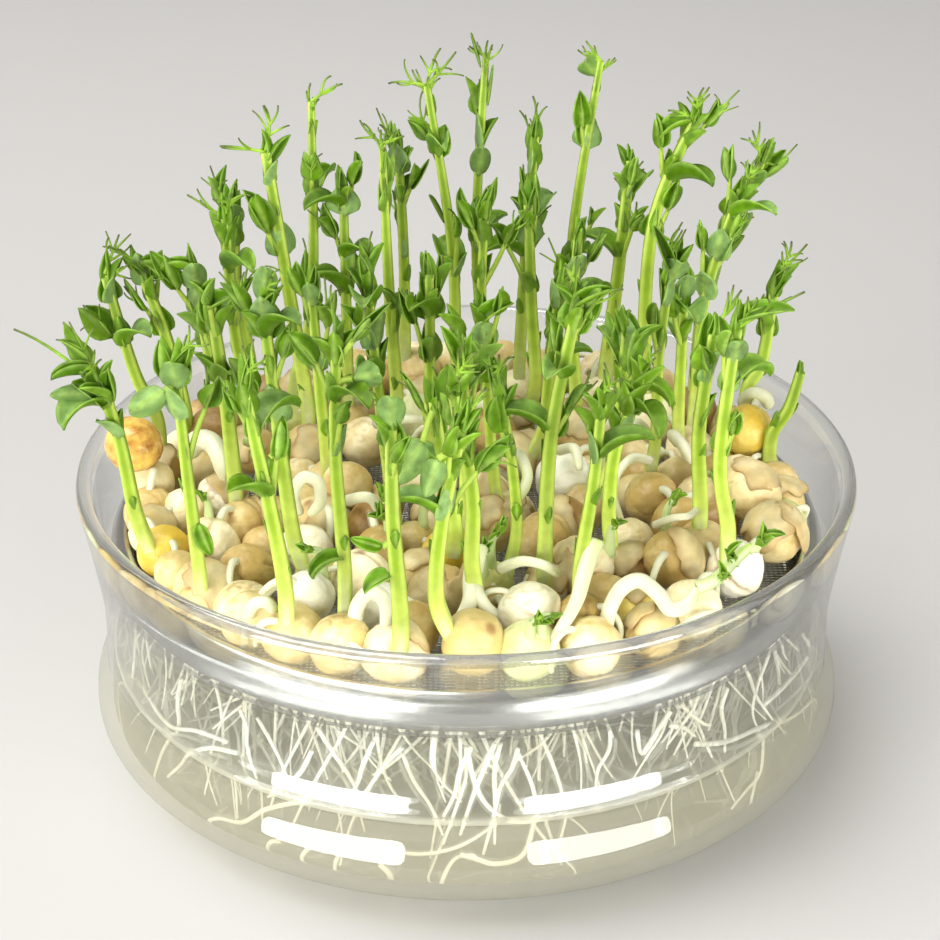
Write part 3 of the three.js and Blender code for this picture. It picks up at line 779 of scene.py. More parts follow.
# ---- Shoots: young pea plants, one stem from each sprouted seed ----
# A ribbed stem leaves the side of a pea, bends at its knee and leans to its tip. Two small scales
# sit low on it. Higher up come pairs of stipules, each with a folded leaf and a tendril.
# foot x, y | knee x, y, z | tip x, y, z | habit, as in the part's source
# Habit: L leafy with a tendril at the tip, M leafy, B one leaf, T ends in tendrils, S only a bud
SHOOTS = [
    (-60, -29, -62, -29, 78, -65, -30, 90, "L"),
    (-47, -45, -48, -45, 81, -49, -44, 102, "L"),
    (-61, 10, -65, 11, 72, -70, 12, 95, "B"),
    (-56, 14, -59, 15, 78, -64, 16, 94, "L"),
    (-47, 12, -50, 12, 75, -53, 12, 97, "M"),
    (-43, 20, -46, 21, 76, -47, 22, 104, "L"),
    (-31, -36, -33, -35, 84, -35, -34, 110, "L"),
    (-31, -55, -33, -55, 78, -37, -55, 104, "L"),
    (-32, 18, -35, 20, 86, -39, 22, 118, "B"),
    (-35, 28, -31, 29, 80, -30, 31, 122, "T"),
    (-24, 24, -24, 25, 82, -24, 26, 109, "M"),
    (-21, -50, -22, -50, 86, -21, -50, 109, "L"),
    (-14, -19, -16, -18, 82, -18, -17, 108, "M"),
    (-14, 16, -15, 17, 84, -16, 19, 117, "T"),
    (-11, -63, -12, -63, 80, -12, -62, 98, "L"),
    (-5, -59, -4, -58, 76, 0, -57, 96, "L"),
    (1, -47, 1, -46, 76, -3, -46, 99, "B"),
    (-2, -33, -4, -31, 72, -6, -29, 87, "M"),
    (9, -36, 8, -35, 76, 5, -34, 93, "L"),
    (5, -10, 4, -8, 76, 3, -7, 94, "M"),
    (14, -40, 15, -38, 84, 20, -37, 112, "L"),
    (20, -47, 22, -46, 78, 23, -46, 95, "B"),
    (26, -28, 27, -28, 76, 32, -28, 92, "L"),
    (37, 4, 37, 5, 78, 39, 6, 100, "L"),
    (36, 27, 37, 29, 96, 46, 31, 120, "L"),
    (42, 12, 42, 12, 76, 42, 13, 93, "M"),
    (43, -24, 42, -25, 78, 44, -25, 99, "L"),
    (47, -34, 45, -33, 76, 47, -33, 105, "L"),
    (47, 31, 49, 32, 82, 60, 33, 112, "L"),
    (46, 20, 47, 20, 84, 54, 21, 110, "L"),
    (57, 24, 60, 26, 68, 62, 28, 88, "B"),
    (60, 7, 63, 7, 66, 65, 7, 75, "S"),
    (-2, 36, -3, 38, 88, -8, 40, 122, "T"),
    (4, 44, 2, 45, 88, 4, 47, 126, "T"),
    (11, 37, 12, 39, 84, 14, 40, 115, "M"),
    (22, 43, 22, 45, 88, 27, 47, 125, "T"),
    (29, 36, 31, 37, 83, 33, 38, 110, "M"),
    (4, 26, 3, 26, 83, 4, 26, 105, "M"),
    (14, 27, 13, 27, 80, 12, 28, 104, "M"),
    (22, 20, 21, 21, 78, 22, 21, 100, "M"),
    (-7, 5, -7, 6, 76, -7, 8, 97, "M"),
    (15, 6, 16, 6, 74, 18, 7, 95, "M"),
    (28, -7, 29, -6, 73, 30, -5, 90, "M"),
    (-27, -3, -28, -2, 78, -29, -1, 99, "M"),
    (-44, -11, -45, -10, 78, -47, -9, 98, "M"),
    (-13, 43, -13, 44, 84, -14, 45, 110, "M"),
    (-45, 36, -47, 37, 78, -48, 38, 100, "M"),
    (0, -19, 0, -18, 73, -1, -17, 89, "M"),
]
STEM_R = 1.5
STEM_SIDES = 24
STEM_RIBS = 0.10  # how far the four ribs stand out, as a share of the radius
STALK_R = 0.62
TENDRIL_R = 0.40
BED_TOP = 62
LEAF_L = 9.5
LEAF_HALF = 3.2
LEAF_T = 0.24
STEM, BLADE, TENDRIL = 0, 1, 2
# Where the leaves leave the stem, as shares of it, by habit
LEAF_NODES = {"L": (0.72, 0.86), "M": (0.74, 0.87), "B": (0.80,), "T": (0.62, 0.84), "S": ()}
TALL_NODES = {**LEAF_NODES, "L": (0.70, 0.82, 0.92), "M": (0.72, 0.83, 0.92)}
TALL = 105


def green_body(name, stops, mark, rib_tint_and_sheen, lit, glow, roughness, vein_scale, blotchy=0.27):
    """Plant tissue: coloured by a mark, blended towards the rib tint along its ribs, mottled and lit
    through. On stems that tint is a painted highlight on the ridges, with painted shade left in the
    valleys."""
    made, add = new_material(name)
    ribbed = mixed(add, mark_on(add, "rib"), ramp(add, mark_on(add, mark), stops), rib_tint_and_sheen)
    mottle = speckle(add, vein_scale, 4)
    spread = {"From Min": 0.3, "From Max": 0.7, "To Min": 0.95 - blotchy, "To Max": 0.95 + blotchy}
    shade = add("MapRange", {"Value": mottle, **spread})
    tone = add("Math", {0: shade, 1: mark_on(add, "tone")}, operation="MULTIPLY")
    body = add("BsdfPrincipled", {
        "Base Color": add("VectorMath", {0: ribbed, "Scale": tone}, operation="SCALE"),
        "Roughness": roughness, "Specular IOR Level": 0.25,
        "Normal": add("Bump", {"Height": mottle, "Strength": 0.3, "Distance": 0.0004}),
    })
    through = add("BsdfTranslucent", {"Color": lit})
    add("OutputMaterial", {"Surface": add("MixShader", {0: glow, 1: body, 2: through})})
    return made


# The stem's green runs up from its pale foot and is kept dark in the valleys as painted shade; the paler
# rib tint on its four ridges is a painted highlight.
stem_green = green_body(
    "stem_green",
    [
        (0.04, (0.78, 0.77, 0.50, 1)),
        (0.20, (0.54, 0.63, 0.11, 1)),
        (0.44, (0.27, 0.43, 0.010, 1)),
        (1.0, (0.15, 0.32, 0.008, 1)),
    ],
    "run", (0.71, 0.85, 0.17, 1), (0.55, 0.80, 0.03, 1), 0.22, 0.44, 420, 0.12,
)
leaf_green = green_body(
    "leaf_green",
    [(0.0, (0.095, 0.225, 0.004, 1)), (0.4, (0.185, 0.345, 0.014, 1)), (1.0, (0.28, 0.43, 0.17, 1))],
    "under", (0.44, 0.60, 0.14, 1), (0.42, 0.72, 0.01, 1), 0.30, 0.46, 520, 0.32,
)
tendril_green = green_body(
    "tendril_green",
    [(0.0, (0.36, 0.56, 0.06, 1)), (0.6, (0.25, 0.43, 0.04, 1)), (1.0, (0.085, 0.10, 0.03, 1))],
    "run", (0.3, 0.5, 0.1, 1), (0.4, 0.7, 0.04, 1), 0.12, 0.5, 500,
)


def marks_of(shape, run, rib=0.5, under=0.5):
    """The marks of one point: place on the colour run, ribbing, how much of an underside."""
    return {"run": run, "under": under, "rib": rib, "tone": shape["tone"]}


def finish_faces(shape, kind):
    """Gives the faces added since the last call their finish."""
    shape["finish"] += [kind] * (len(shape["faces"]) - len(shape["finish"]))


def add_blade(shape, base, along, face, length, half, fold, curl, pale=0.3, stations=9, blunt=0.72):
    """A thin leaf blade. face is its upper side, fold how far each half is raised towards it,
    curl how far the tip bends away from it, and pale how waxy its underside is."""
    along = along.normalized()
    side = along.cross(face).normalized()
    up = side.cross(along).normalized()
    across = (-1.0, -0.72, -0.38, 0.0, 0.38, 0.72, 1.0)
    p = base.copy()
    rows = []
    for i in range(stations):
        t = i / (stations - 1)
        turn = Matrix.Rotation(-curl * t, 3, side)
        over = turn @ up
        width = half * (math.sin(math.pi * t**blunt) ** 0.66 if 0 < t < 1 else 0.0) + 0.12
        row = []
        for s in across:
            lift = fold * (0.75 + 0.35 * abs(s))
            reach = width * abs(s)
            sign = 1 if s > 0 else -1
            rise = reach * math.sin(lift) + 0.07 * half * math.sin(5 * t + 2 * s + length) * abs(s)
            spot = p + side * (sign * reach * math.cos(lift)) + over * rise
            normal = (over * math.cos(lift) - side * (sign * math.sin(lift))).normalized()
            row.append((spot, normal if s else over))
        rows.append(row)
        p = p + (turn @ along) * (length / (stations - 1))
    first = len(shape["vertices"])
    n = len(across)
    tone = shape["tone"] * (0.8 + 0.4 * ((length * 7.3) % 1))
    for sheet, under in ((1, 0.12), (-1, pale)):
        for i, row in enumerate(rows):
            for s, (spot, normal) in zip(across, row):
                rib = 0.6 if s == 0 else 0.35 if abs(s) == 1 else 0.0
                marks = {"run": i / (stations - 1), "under": under, "rib": rib, "tone": tone}
                put(shape, spot + normal * (sheet * LEAF_T / 2), marks)
    back = stations * n
    for quad in quads(first, stations, n, False):
        shape["faces"] += [quad, [k + back for k in quad][::-1]]
    border = [first + j for j in range(n)]
    border += [first + i * n + n - 1 for i in range(1, stations)]
    border += [first + (stations - 1) * n + j for j in range(n - 2, -1, -1)]
    border += [first + i * n for i in range(stations - 2, 0, -1)]
    for a, b in zip(border, border[1:] + border[:1]):
        shape["faces"].append([b, a, a + back, b + back])
    finish_faces(shape, BLADE)


def add_thread(shape, base, along, length, curl, rng, thick, start):
    """One thin curling thread of a tendril, dark towards its end."""
    heading = along.normalized()
    axis = heading.cross(Vector(any_way(rng))).normalized()
    line = [base.copy()]
    steps = 9
    for k in range(steps):
        share = k / steps
        heading = Quaternion(axis, curl * (0.3 + 1.7 * share**2) / steps) @ heading
        line.append(line[-1] + heading * (length / steps))
    add_tube(
        shape, line, lambda s: thick * (1 - 0.5 * s), 6,
        lambda s, a: marks_of(shape, start + (1 - start) * s, 0.0),
    )
    finish_faces(shape, TENDRIL)
    return line


def add_tendril(shape, base, along, length, rng, pairs=1, thick=TENDRIL_R):
    """A grasping tendril: a main thread with side threads in pairs, like a small claw."""
    main = add_thread(shape, base, along, length, rng.uniform(-1.3, 1.3), rng, thick, 0.1)
    heading = along.normalized()
    plane = heading.cross(Vector((rng.gauss(0, 1), rng.gauss(0, 1), rng.gauss(0, 0.4)))).normalized()
    for k in range(pairs):
        at = main[min(3 + 2 * k, 8)]
        for sign in (-1, 1):
            way = heading * rng.uniform(0.7, 1.0) + plane * (sign * rng.uniform(0.4, 0.9))
            side_length = length * rng.uniform(0.4, 0.65)
            add_thread(shape, at, way, side_length, rng.uniform(-1.6, 1.6), rng, thick * 0.8, 0.3)


def out_from(stem_dir, azimuth):
    """The direction square to the stem at an azimuth."""
    out = Vector((math.cos(azimuth), math.sin(azimuth), 0))
    return (out - stem_dir * out.dot(stem_dir)).normalized()


def add_stipules(shape, base, stem_dir, azimuth, size, rng):
    """The pair of scales that clasp the stem at a node, their undersides outwards."""
    out = out_from(stem_dir, azimuth)
    cross = stem_dir.cross(out).normalized()
    for sign in (-1, 1):
        outward = (cross * sign + out * 0.35).normalized()
        lean = rng.uniform(0.1, 0.42)
        heading = stem_dir * math.cos(lean) + outward * math.sin(lean)
        broad = rng.random() < 0.3
        length = LEAF_L * size * rng.uniform(0.75, 0.98)
        half = LEAF_HALF * size * rng.uniform(0.75, 0.95) * (1.3 if broad else 1)
        fold = rng.uniform(0.3, 0.6) if broad else rng.uniform(0.6, 1.1)
        curl = rng.uniform(-0.9, 0.5)
        pale = 0.85 if broad else rng.uniform(0.1, 0.5)
        foot = base + outward * 0.8 - stem_dir * 0.6
        add_blade(shape, foot, heading, -outward, length, half, fold, curl, pale, 8, 0.62)


def add_stalk(shape, line, r, thinning):
    """A leaf's stalk."""
    add_tube(shape, line, lambda s: r - thinning * s, 7, lambda s, a: marks_of(shape, 0.8))
    finish_faces(shape, STEM)


def add_leaf(shape, base, stem_dir, azimuth, lean, reach, size, fold, rng, tendril, droop):
    """A stalk with one pair of folded leaflets and a tendril at its end."""
    out = out_from(stem_dir, azimuth)
    way = (stem_dir * math.cos(lean) + out * math.sin(lean)).normalized()
    later = (way - Vector((0, 0, 1)) * droop).normalized()
    middle = base + way * (0.55 * reach) + out * 0.7
    line = smooth_line([base + out * 0.5, middle, middle + later * (0.5 * reach)], 4)
    add_stalk(shape, line, STALK_R, 0.18)
    end = line[-1]
    ahead = (end - line[-3]).normalized()
    cross = ahead.cross(out).normalized()
    for sign in (-1, 1):
        splay = rng.uniform(0.1, 0.5)
        heading = ahead * math.cos(splay) + cross * (sign * math.sin(splay))
        face = cross * -sign + out * rng.uniform(-0.6, 0.6)
        add_blade(
            shape, end - ahead * 0.7 + cross * (0.35 * sign), heading, face,
            LEAF_L * size * rng.uniform(0.8, 1.08), LEAF_HALF * size * rng.uniform(0.8, 1.05),
            fold * rng.uniform(0.8, 1.1), rng.uniform(-1.3, 0.4), rng.uniform(0.1, 0.55),
        )
    if tendril > 0:
        way = ahead + out * rng.uniform(-0.3, 0.4)
        add_tendril(shape, end, way, tendril, rng, rng.choice((0, 1, 1)), 0.34)


def add_bud(shape, base, stem_dir, azimuth, size, rng, nod=0.0):
    """The closed tip: folded leaflets held together, bent over by nod."""
    ahead = (stem_dir + out_from(stem_dir, azimuth) * nod).normalized()
    for k in range(3):
        out = out_from(ahead, azimuth + 2.1 * k + rng.uniform(-0.3, 0.3))
        add_blade(
            shape, base + out * 0.5 - ahead * 0.8, ahead + out * rng.uniform(0.05, 0.25), -out,
            LEAF_L * size * rng.uniform(0.7, 1.0), LEAF_HALF * size * rng.uniform(0.55, 0.8),
            rng.uniform(0.9, 1.3), rng.uniform(-0.9, 0.0) - 1.4 * nod, rng.uniform(0.0, 0.3), 9,
        )


def nearest_pea(x, y):
    """Centre and radius of the pea nearest to a place on the bed."""
    return min(peas, key=lambda pea: math.hypot(pea[0].x - x, pea[0].y - y))[:2]


def stem_line(row):
    """A stem's centre line: out of the side of the nearest pea, up to its knee and its tip."""
    fx, fy, kx, ky, kz, *tip, habit = row
    seed, r = nearest_pea(fx, fy)
    out = Vector((fx - seed.x, fy - seed.y, 0))
    out *= min(1, 0.6 * r / max(out.length, 1e-6))
    start = seed + out + Vector((0, 0, 0.2 * r))
    line = smooth_line([start, (fx, fy, min(BED_TOP, kz - 6)), (kx, ky, kz), tip], 14)
    return line[: int(len(line) * (0.98 if habit == "T" else 0.95))]


def grow_shoot(number, row):
    """The whole shoot of one row, with leaves that its seeded habit gives it."""
    tz, habit = row[-2:]
    rng = random.Random(500 + number)
    shape = new_shape(rng.uniform(0.84, 1.14))
    fine = stem_line(row)
    thick = STEM_R * rng.uniform(0.88, 1.14)
    taper = 0.52 if habit == "T" else 0.36
    # The rib mark peaks on the four ridges: a painted highlight there, and painted shade in the valleys.
    add_tube(
        shape, fine, lambda s: thick * (1.0 - taper * s) * (0.88 + 0.12 * min(s * 8, 1)), STEM_SIDES,
        lambda s, a: marks_of(shape, s, 0.10 + 0.80 * (0.5 + 0.5 * math.cos(4 * a)) ** 2), STEM_RIBS,
    )
    finish_faces(shape, STEM)

    def at(share):
        """A place on the stem, and the stem's direction there."""
        place = share * (len(fine) - 1)
        i = min(int(place), len(fine) - 2)
        return fine[i].lerp(fine[i + 1], place - i), (fine[i + 1] - fine[i]).normalized()

    azimuth = rng.uniform(0, 6.28)
    # small scale leaves low on the stem
    for share in (0.40, 0.58):
        azimuth += math.pi * rng.uniform(0.8, 1.2)
        base, ahead = at(share + rng.uniform(-0.04, 0.04))
        out = out_from(ahead, azimuth)
        length = rng.uniform(2.8, 4.6)
        add_blade(shape, base + out * 1.1, ahead + out * 0.25, -out, length, 1.1, 0.6, -0.2, 0.3, 5)
    for share in (TALL_NODES if tz > TALL else LEAF_NODES)[habit]:
        azimuth += math.pi * rng.uniform(0.75, 1.25)
        base, ahead = at(share + rng.uniform(-0.02, 0.02))
        size = rng.uniform(0.75, 1.0) * (0.8 if share < 0.7 else 1)
        add_stipules(shape, base, ahead, azimuth, size, rng)
        reach = rng.uniform(4, 9) * (1.2 if share < 0.8 else 0.8)
        add_leaf(
            shape, base, ahead, azimuth, rng.uniform(0.12, 0.45), reach, size * rng.uniform(0.8, 1.1),
            rng.uniform(0.8, 1.35), rng, rng.uniform(6, 10) if rng.random() < 0.6 else 0,
            rng.uniform(-0.1, 0.35),
        )
        if rng.random() < 0.35:
            # a leaf that has bent over like a hood
            hood = out_from(ahead, azimuth + rng.uniform(1.5, 4.5))
            way = ahead * 0.9 + hood * rng.uniform(0.3, 0.9)
            add_blade(
                shape, base + hood * 0.8, way, hood * 0.6 - ahead * 0.5, LEAF_L * rng.uniform(0.9, 1.2),
                LEAF_HALF * rng.uniform(0.95, 1.25), rng.uniform(-0.9, -0.5), rng.uniform(-1.9, -1.0),
                rng.uniform(0.2, 0.9), 12,
            )
    azimuth += math.pi * rng.uniform(0.75, 1.25)
    base, ahead = at(0.98)
    if habit == "T":
        for k in range(2):
            way = ahead + out_from(ahead, azimuth + math.pi * k) * rng.uniform(0.3, 0.9)
            add_tendril(shape, base - ahead, way, rng.uniform(4.5, 7.5), rng, 1, 0.38)
        add_bud(shape, at(0.93)[0], ahead, azimuth, 0.62, rng)
        return shape
    nod = rng.uniform(0.0, 0.8) if habit in "LB" else rng.uniform(0.0, 0.3)
    if habit != "S":
        add_stipules(shape, at(0.93)[0], ahead, azimuth, rng.uniform(0.7, 0.9), rng)
    add_bud(shape, base, ahead, azimuth, rng.uniform(0.75, 0.95) * (0.6 if habit == "S" else 1), rng, nod)
    if habit in "LB":
        way = ahead + out_from(ahead, azimuth) * rng.uniform(0.4, 1.1)
        add_tendril(shape, base + ahead * 2, way, rng.uniform(5.5, 9), rng, 2)
    return shape


# Leaves that stand out: shoot, share up its stem, stalk x, y, z, blade x, y, z, half width,
# upper side x, y, z, fold, curl, how pale the underside is
NOTED_LEAVES = [
    (1, 0.97, 0, 0, 2, -8, -2, 3, 3.8, 0, -0.4, 1, 0.9, 0.9, 0.1),
    (1, 0.90, -1, -1, 1, -8, -2, 0.5, 2.8, 0, 1, -0.4, 0.35, 0.2, 1),
    (2, 0.90, -2, -1, 0, -6, -3, -3, 3.8, 0.3, 1, -0.2, 0.3, 0.4, 1),
    (4, 0.97, 0, 0, 1, 7, -2, 2, 4.4, 0, -0.5, 1, 0.9, 1.6, 0.4),
    (9, 0.97, 0, 0, 0, 2, -1, -10, 2.8, 0, 1, 0, 1.1, 0.3, 0.0),
    (7, 0.97, 0, 0, 1, 1, -1, 8, 3.4, 0, 1, 0.2, 0.3, 0.4, 1),
    (12, 0.85, 3, -1, 2, 5, -2, 2, 3.6, 0, 1, -0.3, 0.3, 0.3, 1),
    (14, 0.82, 0, 0, 1, 0, -1, 10, 3.0, 0, 1, 0, 1.1, 0.2, 0.1),
    (15, 0.97, 0, 0, 1, 0, -1, 7, 3.8, 0, 1, 0.3, 0.3, 0.3, 1),
    (18, 0.95, -2, -6, -4, -5, -3, -7, 4.2, 0.2, 1, -0.2, 0.25, 0.2, 1),
    (16, 0.92, -3, -2, 0, -2, -2, -6, 3.4, 0.2, 1, 0, 0.3, 0.2, 1),
    (24, 0.97, 0, 0, 1, -3, -2, 8, 4.2, 0, -1, 0.4, 0.8, 0.6, 0.3),
    (24, 0.93, 0, -1, 0, 2, -2, 5, 4.2, 0, 1, 0, 0.3, 0.3, 1),
    (25, 0.96, 0, 0, 1, -7, -2, -1, 3.8, 0, -0.3, 1, 0.5, 0.7, 0.5),
    (36, 0.95, 0, 0, 1, -3, -2, 4, 4.0, 0, 1, 0, 0.3, 0.3, 0.8),
    (28, 0.98, 0, 0, 1, 9, -2, 4, 3.8, 0, -0.5, 1, 0.5, 0.3, 0.6),
    (34, 0.78, 0, -1, 1, 1, -1, 7, 3.4, 0, 1, 0, 0.3, 0.3, 0.9),
    (34, 0.96, -1, -1, 0, -2, -1, 8, 2.8, 0, 1, 0, 1.1, 0.4, 0.1),
    (34, 0.90, 1, -1, 0, 1, -1, 9, 2.8, 0, 1, 0, 1.1, 0.2, 0.1),
    (10, 0.80, 1, -1, 0, 3, -1, 8, 3.0, 0, 1, 0, 1.0, 0.3, 0.2),
    (33, 0.72, -1, -1, 0, -3, -1, 7, 3.0, 0, 1, 0, 1.0, 0.4, 0.2),
    (5, 0.97, 0, 0, 0, -5, -2, 4, 3.6, 0, -0.4, 1, 0.8, 1.2, 0.4),
    (45, 0.97, 0, 0, 0, 4, -3, 5, 3.4, 0, -0.6, 0.8, 0.6, 0.8, 0.6),
    (21, 0.97, 0, 0, 0, 5, -2, 5, 3.6, 0, -0.6, 0.8, 0.8, 0.8, 0.4),
    (20, 0.97, 0, 0, 0, 3, -3, 6, 3.6, 0, -0.6, 0.8, 0.6, 1.3, 0.5),
    (12, 0.40, 0, -1, 0, -6, -3, 1, 3.4, 0, -0.3, 1, 0.6, 1.5, 0.7),
    (2, 0.52, 1, -1, 0, 2, -1, -6, 2.4, 0, -1, 0.2, 0.3, 0.2, 0.0),
    (7, 0.60, -2, -1, 0, -2, -1, -6, 2.6, 0, -1, 0.2, 0.3, 0.2, 0.0),
    (15, 0.62, -2, -1, 0, -5, -1, 2, 2.2, 0, -1, 0.4, 0.5, 0.5, 0.0),
    (15, 0.50, -1, -1, 0, -5, -2, -1, 2.8, 0, -0.4, 1, 0.4, 0.9, 0.8),
]
# Tendrils that stand out: shoot, share up its stem, x, y, z of the main thread, pairs
NOTED_TENDRILS = [
    (1, 0.97, -12, -2, 14, 0), (9, 0.98, -9, 0, 2, 1), (10, 0.98, 5.5, 0, 4.5, 1), (28, 0.98, 11, 0, 7, 1),
    (25, 0.98, -5, 0, 3, 1), (36, 0.98, -5, 0, 1.5, 1), (36, 0.98, -3, 0, 4, 1), (29, 0.98, 4, 0, -1, 1),
    (33, 0.98, -8, 0, 2, 1), (33, 0.98, 6, 0, 6.5, 1), (33, 0.98, 1.5, 0, 8, 1), (34, 0.98, -4, 0, 2, 1),
    (35, 0.98, 1, 0, 8, 1), (46, 0.98, -3, 0, 6, 1), (3, 0.98, 5, 0, 2, 1), (6, 0.98, -7, 0, 5, 1),
    (31, 0.98, 6, 0, 7, 1), (14, 0.98, -5, 0, 4, 1), (14, 0.98, 4, 0, 2, 1),
]


def add_noted(shape, number, row):
    """The leaves and tendrils of this shoot that stand out."""
    rng = random.Random(70 + number)
    stem = stem_line(row)
    for shoot, share, sx, sy, sz, bx, by, bz, half, ux, uy, uz, fold, curl, pale in NOTED_LEAVES:
        if shoot != number:
            continue
        base = stem[int(share * len(stem))]
        end = base + Vector((sx, sy, sz))
        blade = Vector((bx, by, bz))
        if (end - base).length > 1.5:
            middle = base.lerp(end, 0.5) + Vector((0, 0, 0.5))
            add_stalk(shape, smooth_line([base, middle, end], 3), 0.6, 0)
        upper = Vector((ux, uy, uz))
        add_blade(shape, end, blade, upper, blade.length, 0.78 * half, fold + 0.35, curl, 0.8 * pale, 12)
    for shoot, share, x, y, z, pairs in NOTED_TENDRILS:
        if shoot == number:
            way = Vector((x, y, z))
            add_tendril(shape, stem[int(share * len(stem))], way, way.length, rng, pairs)


for number, row in enumerate(SHOOTS, 1):
    shape = grow_shoot(number, row)
    add_noted(shape, number, row)
    node = f"shoot_{number:02d}"
    new_piece(node + "_grown", shape, [stem_green, leaf_green, tendril_green], "shoot", node)

# ---- Sprouts: hooked white shoots and roots that are only just out of the peas ----
# Each is a soft tube bent like a crook over the peas, white where it leaves the seed and green
# towards its tip. A few end in a tuft of tiny folded leaves.
# radius at the start and end, first and last place on the colour run, points
SPROUTS = [
    (1.45, 1.25, 0.0, 0.75, [
        (24, -53.5, 51), (25, -52.5, 56), (27, -52.4, 60), (30, -52.6, 61.5), (33, -54.5, 60),
        (35.2, -56, 57.8), (38.2, -54.8, 58.2), (39.8, -53.3, 60.5),
    ]),
    (1.2, 0.9, 0.75, 1.0, [(39.8, -53.3, 60.5), (43.1, -52.1, 61.5), (46.8, -48.5, 63.5), (49.5, -48, 66)]),
    (0.85, 0.7, 0.2, 0.4, [
        (34.6, -12, 64), (31, -14.8, 66), (28, -19.3, 65), (27.3, -21, 61), (29, -20.6, 56),
    ]),
    (2.2, 1.7, 0.1, 0.3, [(-54, 3, 59), (-51, -3, 64), (-48, -8, 65.5), (-46.3, -10, 63), (-46, -9, 59)]),
    (1.2, 1.1, 0.1, 0.5, [
        (-31.4, -19.3, 57), (-32, -20.8, 61.5), (-30.1, -20.8, 65), (-27.3, -21.7, 64.5),
        (-27.0, -22, 60.5), (-29.0, -21.1, 57.5),
    ]),
    (1.5, 1.2, 0.0, 0.25, [
        (-19.4, -56.5, 53), (-18.6, -55.1, 58), (-16.1, -55.5, 61), (-13.6, -57, 59.5), (-13.7, -57.8, 54),
    ]),
    (1.1, 1.0, 0.1, 0.4, [(-38, -50.2, 53), (-36.6, -53.8, 57.5), (-34.5, -54, 58), (-33.2, -52.1, 55)]),
    (1.9, 1.3, 0.7, 0.0, [(2.1, -41.5, 62), (1, -46.2, 58), (0.7, -49.7, 55.5), (-1.5, -52, 52)]),
    (1.4, 0.9, 0.3, 0.0, [(1.2, -47, 57.5), (3.5, -50.5, 55), (6.5, -50.5, 52.5)]),
    (1.7, 0.9, 0.85, 0.1, [
        (22.5, -46, 66), (20.6, -49.5, 61.5), (19, -54.5, 58.5), (16, -58.5, 55), (13, -60.5, 51),
    ]),
    (1.5, 1.3, 0.2, 0.6, [(56.2, 22, 60), (57.6, 19.5, 63), (59.9, 18.5, 62.8), (61, 20, 60)]),
    (0.8, 0.6, 0.0, 0.2, [(35.1, -22.6, 56), (37.7, -27.2, 60), (40.9, -27.9, 61), (43.4, -21.1, 60)]),
    (1.0, 0.8, 0.2, 0.5, [(6, -40.7, 57), (9.8, -44, 60.5), (13.7, -45.5, 60.5), (16.5, -43, 57)]),
    (1.3, 1.0, 0.3, 0.8, [(9.5, 0, 59), (10.5, -9, 63), (11.5, -13, 61), (10.1, -14, 57)]),
    (1.1, 0.9, 0.1, 0.5, [(18.1, -1.7, 61), (20.6, -7, 64), (21.5, -10, 61)]),
    (1.2, 1.0, 0.1, 0.4, [(-22, -14.7, 57), (-19.3, -20, 60.5), (-17.4, -21, 60.5), (-16, -20, 57)]),
    (1.3, 1.0, 0.0, 0.3, [(42, 8, 58), (40, 2, 62.5), (41.5, -2, 62.5), (43.5, -3, 59)]),
    (1.0, 0.8, 0.1, 0.4, [(-18, 12, 60), (-13, 8, 63), (-8, 9, 62), (-6, 12, 59)]),
    (1.2, 0.9, 0.1, 0.5, [(-3, 18, 60), (2, 14, 63.5), (7, 15, 62), (9, 18, 59)]),
    (1.1, 0.9, 0.0, 0.3, [(26, 12, 59), (30, 7, 63), (34, 8, 62), (36, 11, 58)]),
    (0.9, 0.7, 0.0, 0.2, [(36, -55, 52), (40, -53, 54.5), (44, -49, 53)]),
    (1.0, 0.8, 0.6, 1.0, [(-40, 2, 60), (-42, -4, 64), (-40, -8, 66)]),
]
# Tufts of tiny leaves: x, y, z, the way they point, size, how far down their stalk begins
TUFTS = [
    (50, -48.2, 67.5, 0.6, -0.2, 0.8, 1.0, 2.4), (46.4, -49, 65, -0.3, -0.4, 0.9, 0.8, 2.4),
    (43.5, -52, 63.4, 0.2, -0.6, 0.6, 0.7, 2.2), (11, -61, 60, 0.5, -0.6, 0.7, 0.7, 7),
    (13, -60, 60.5, 0.9, -0.3, 0.4, 0.6, 7), (-13.5, -24, 62, -0.5, 0, 1, 1.0, 7),
    (-14.5, -26, 60, -0.3, -0.3, 1, 0.8, 7), (-25.5, -42, 63, -0.8, -0.4, 0.5, 0.7, 7),
    (4.5, -37, 62, 0.4, -0.2, 1, 0.9, 7), (3, -39, 60, 0.2, -0.5, 1, 0.7, 7),
    (-48, -20, 61, -0.4, -0.4, 1, 0.6, 7), (37, -24, 62, 0.5, 0, 1, 0.8, 7),
    (26, -34, 63, 0.4, -0.3, 1, 0.6, 7), (-40, -8, 66, 0.2, -0.3, 1, 0.6, 3),
    (-8, -20, 61, 0.3, -0.4, 1, 0.9, 7),
]
# The arch of a young root in pea radii: out from the pea, along its neighbour, up
ARCH = [(0.5, 0, 0.8), (0.85, 0.1, 1.05), (1.3, 0.5, 0.85), (1.6, 1.0, 0.25), (1.6, 1.3, -0.4)]


def add_radicle(shape, centre, r, rng):
    """A young root that leaves the pea on one side, arches over and dives beside its neighbour."""
    a = rng.uniform(0, 2 * math.pi)
    out = Vector((math.cos(a), math.sin(a), 0))
    side = Vector((-math.sin(a), math.cos(a), 0)) * rng.uniform(-0.7, 0.7)
    high = rng.uniform(0.45, 1.0)
    line = []
    for away, aside, up in ARCH:
        spot = centre + (out * away + side * aside + Vector((0, 0, up * high))) * r
        line.append(inside_glass(spot, 5.5))
    thick = rng.uniform(0.55, 1.0)
    add_tube(
        shape, smooth_line(line, 5), lambda s: thick * (1 - 0.35 * s), 10,
        lambda s, a: marks_of(shape, 0.45 * s, 0.3),
    )


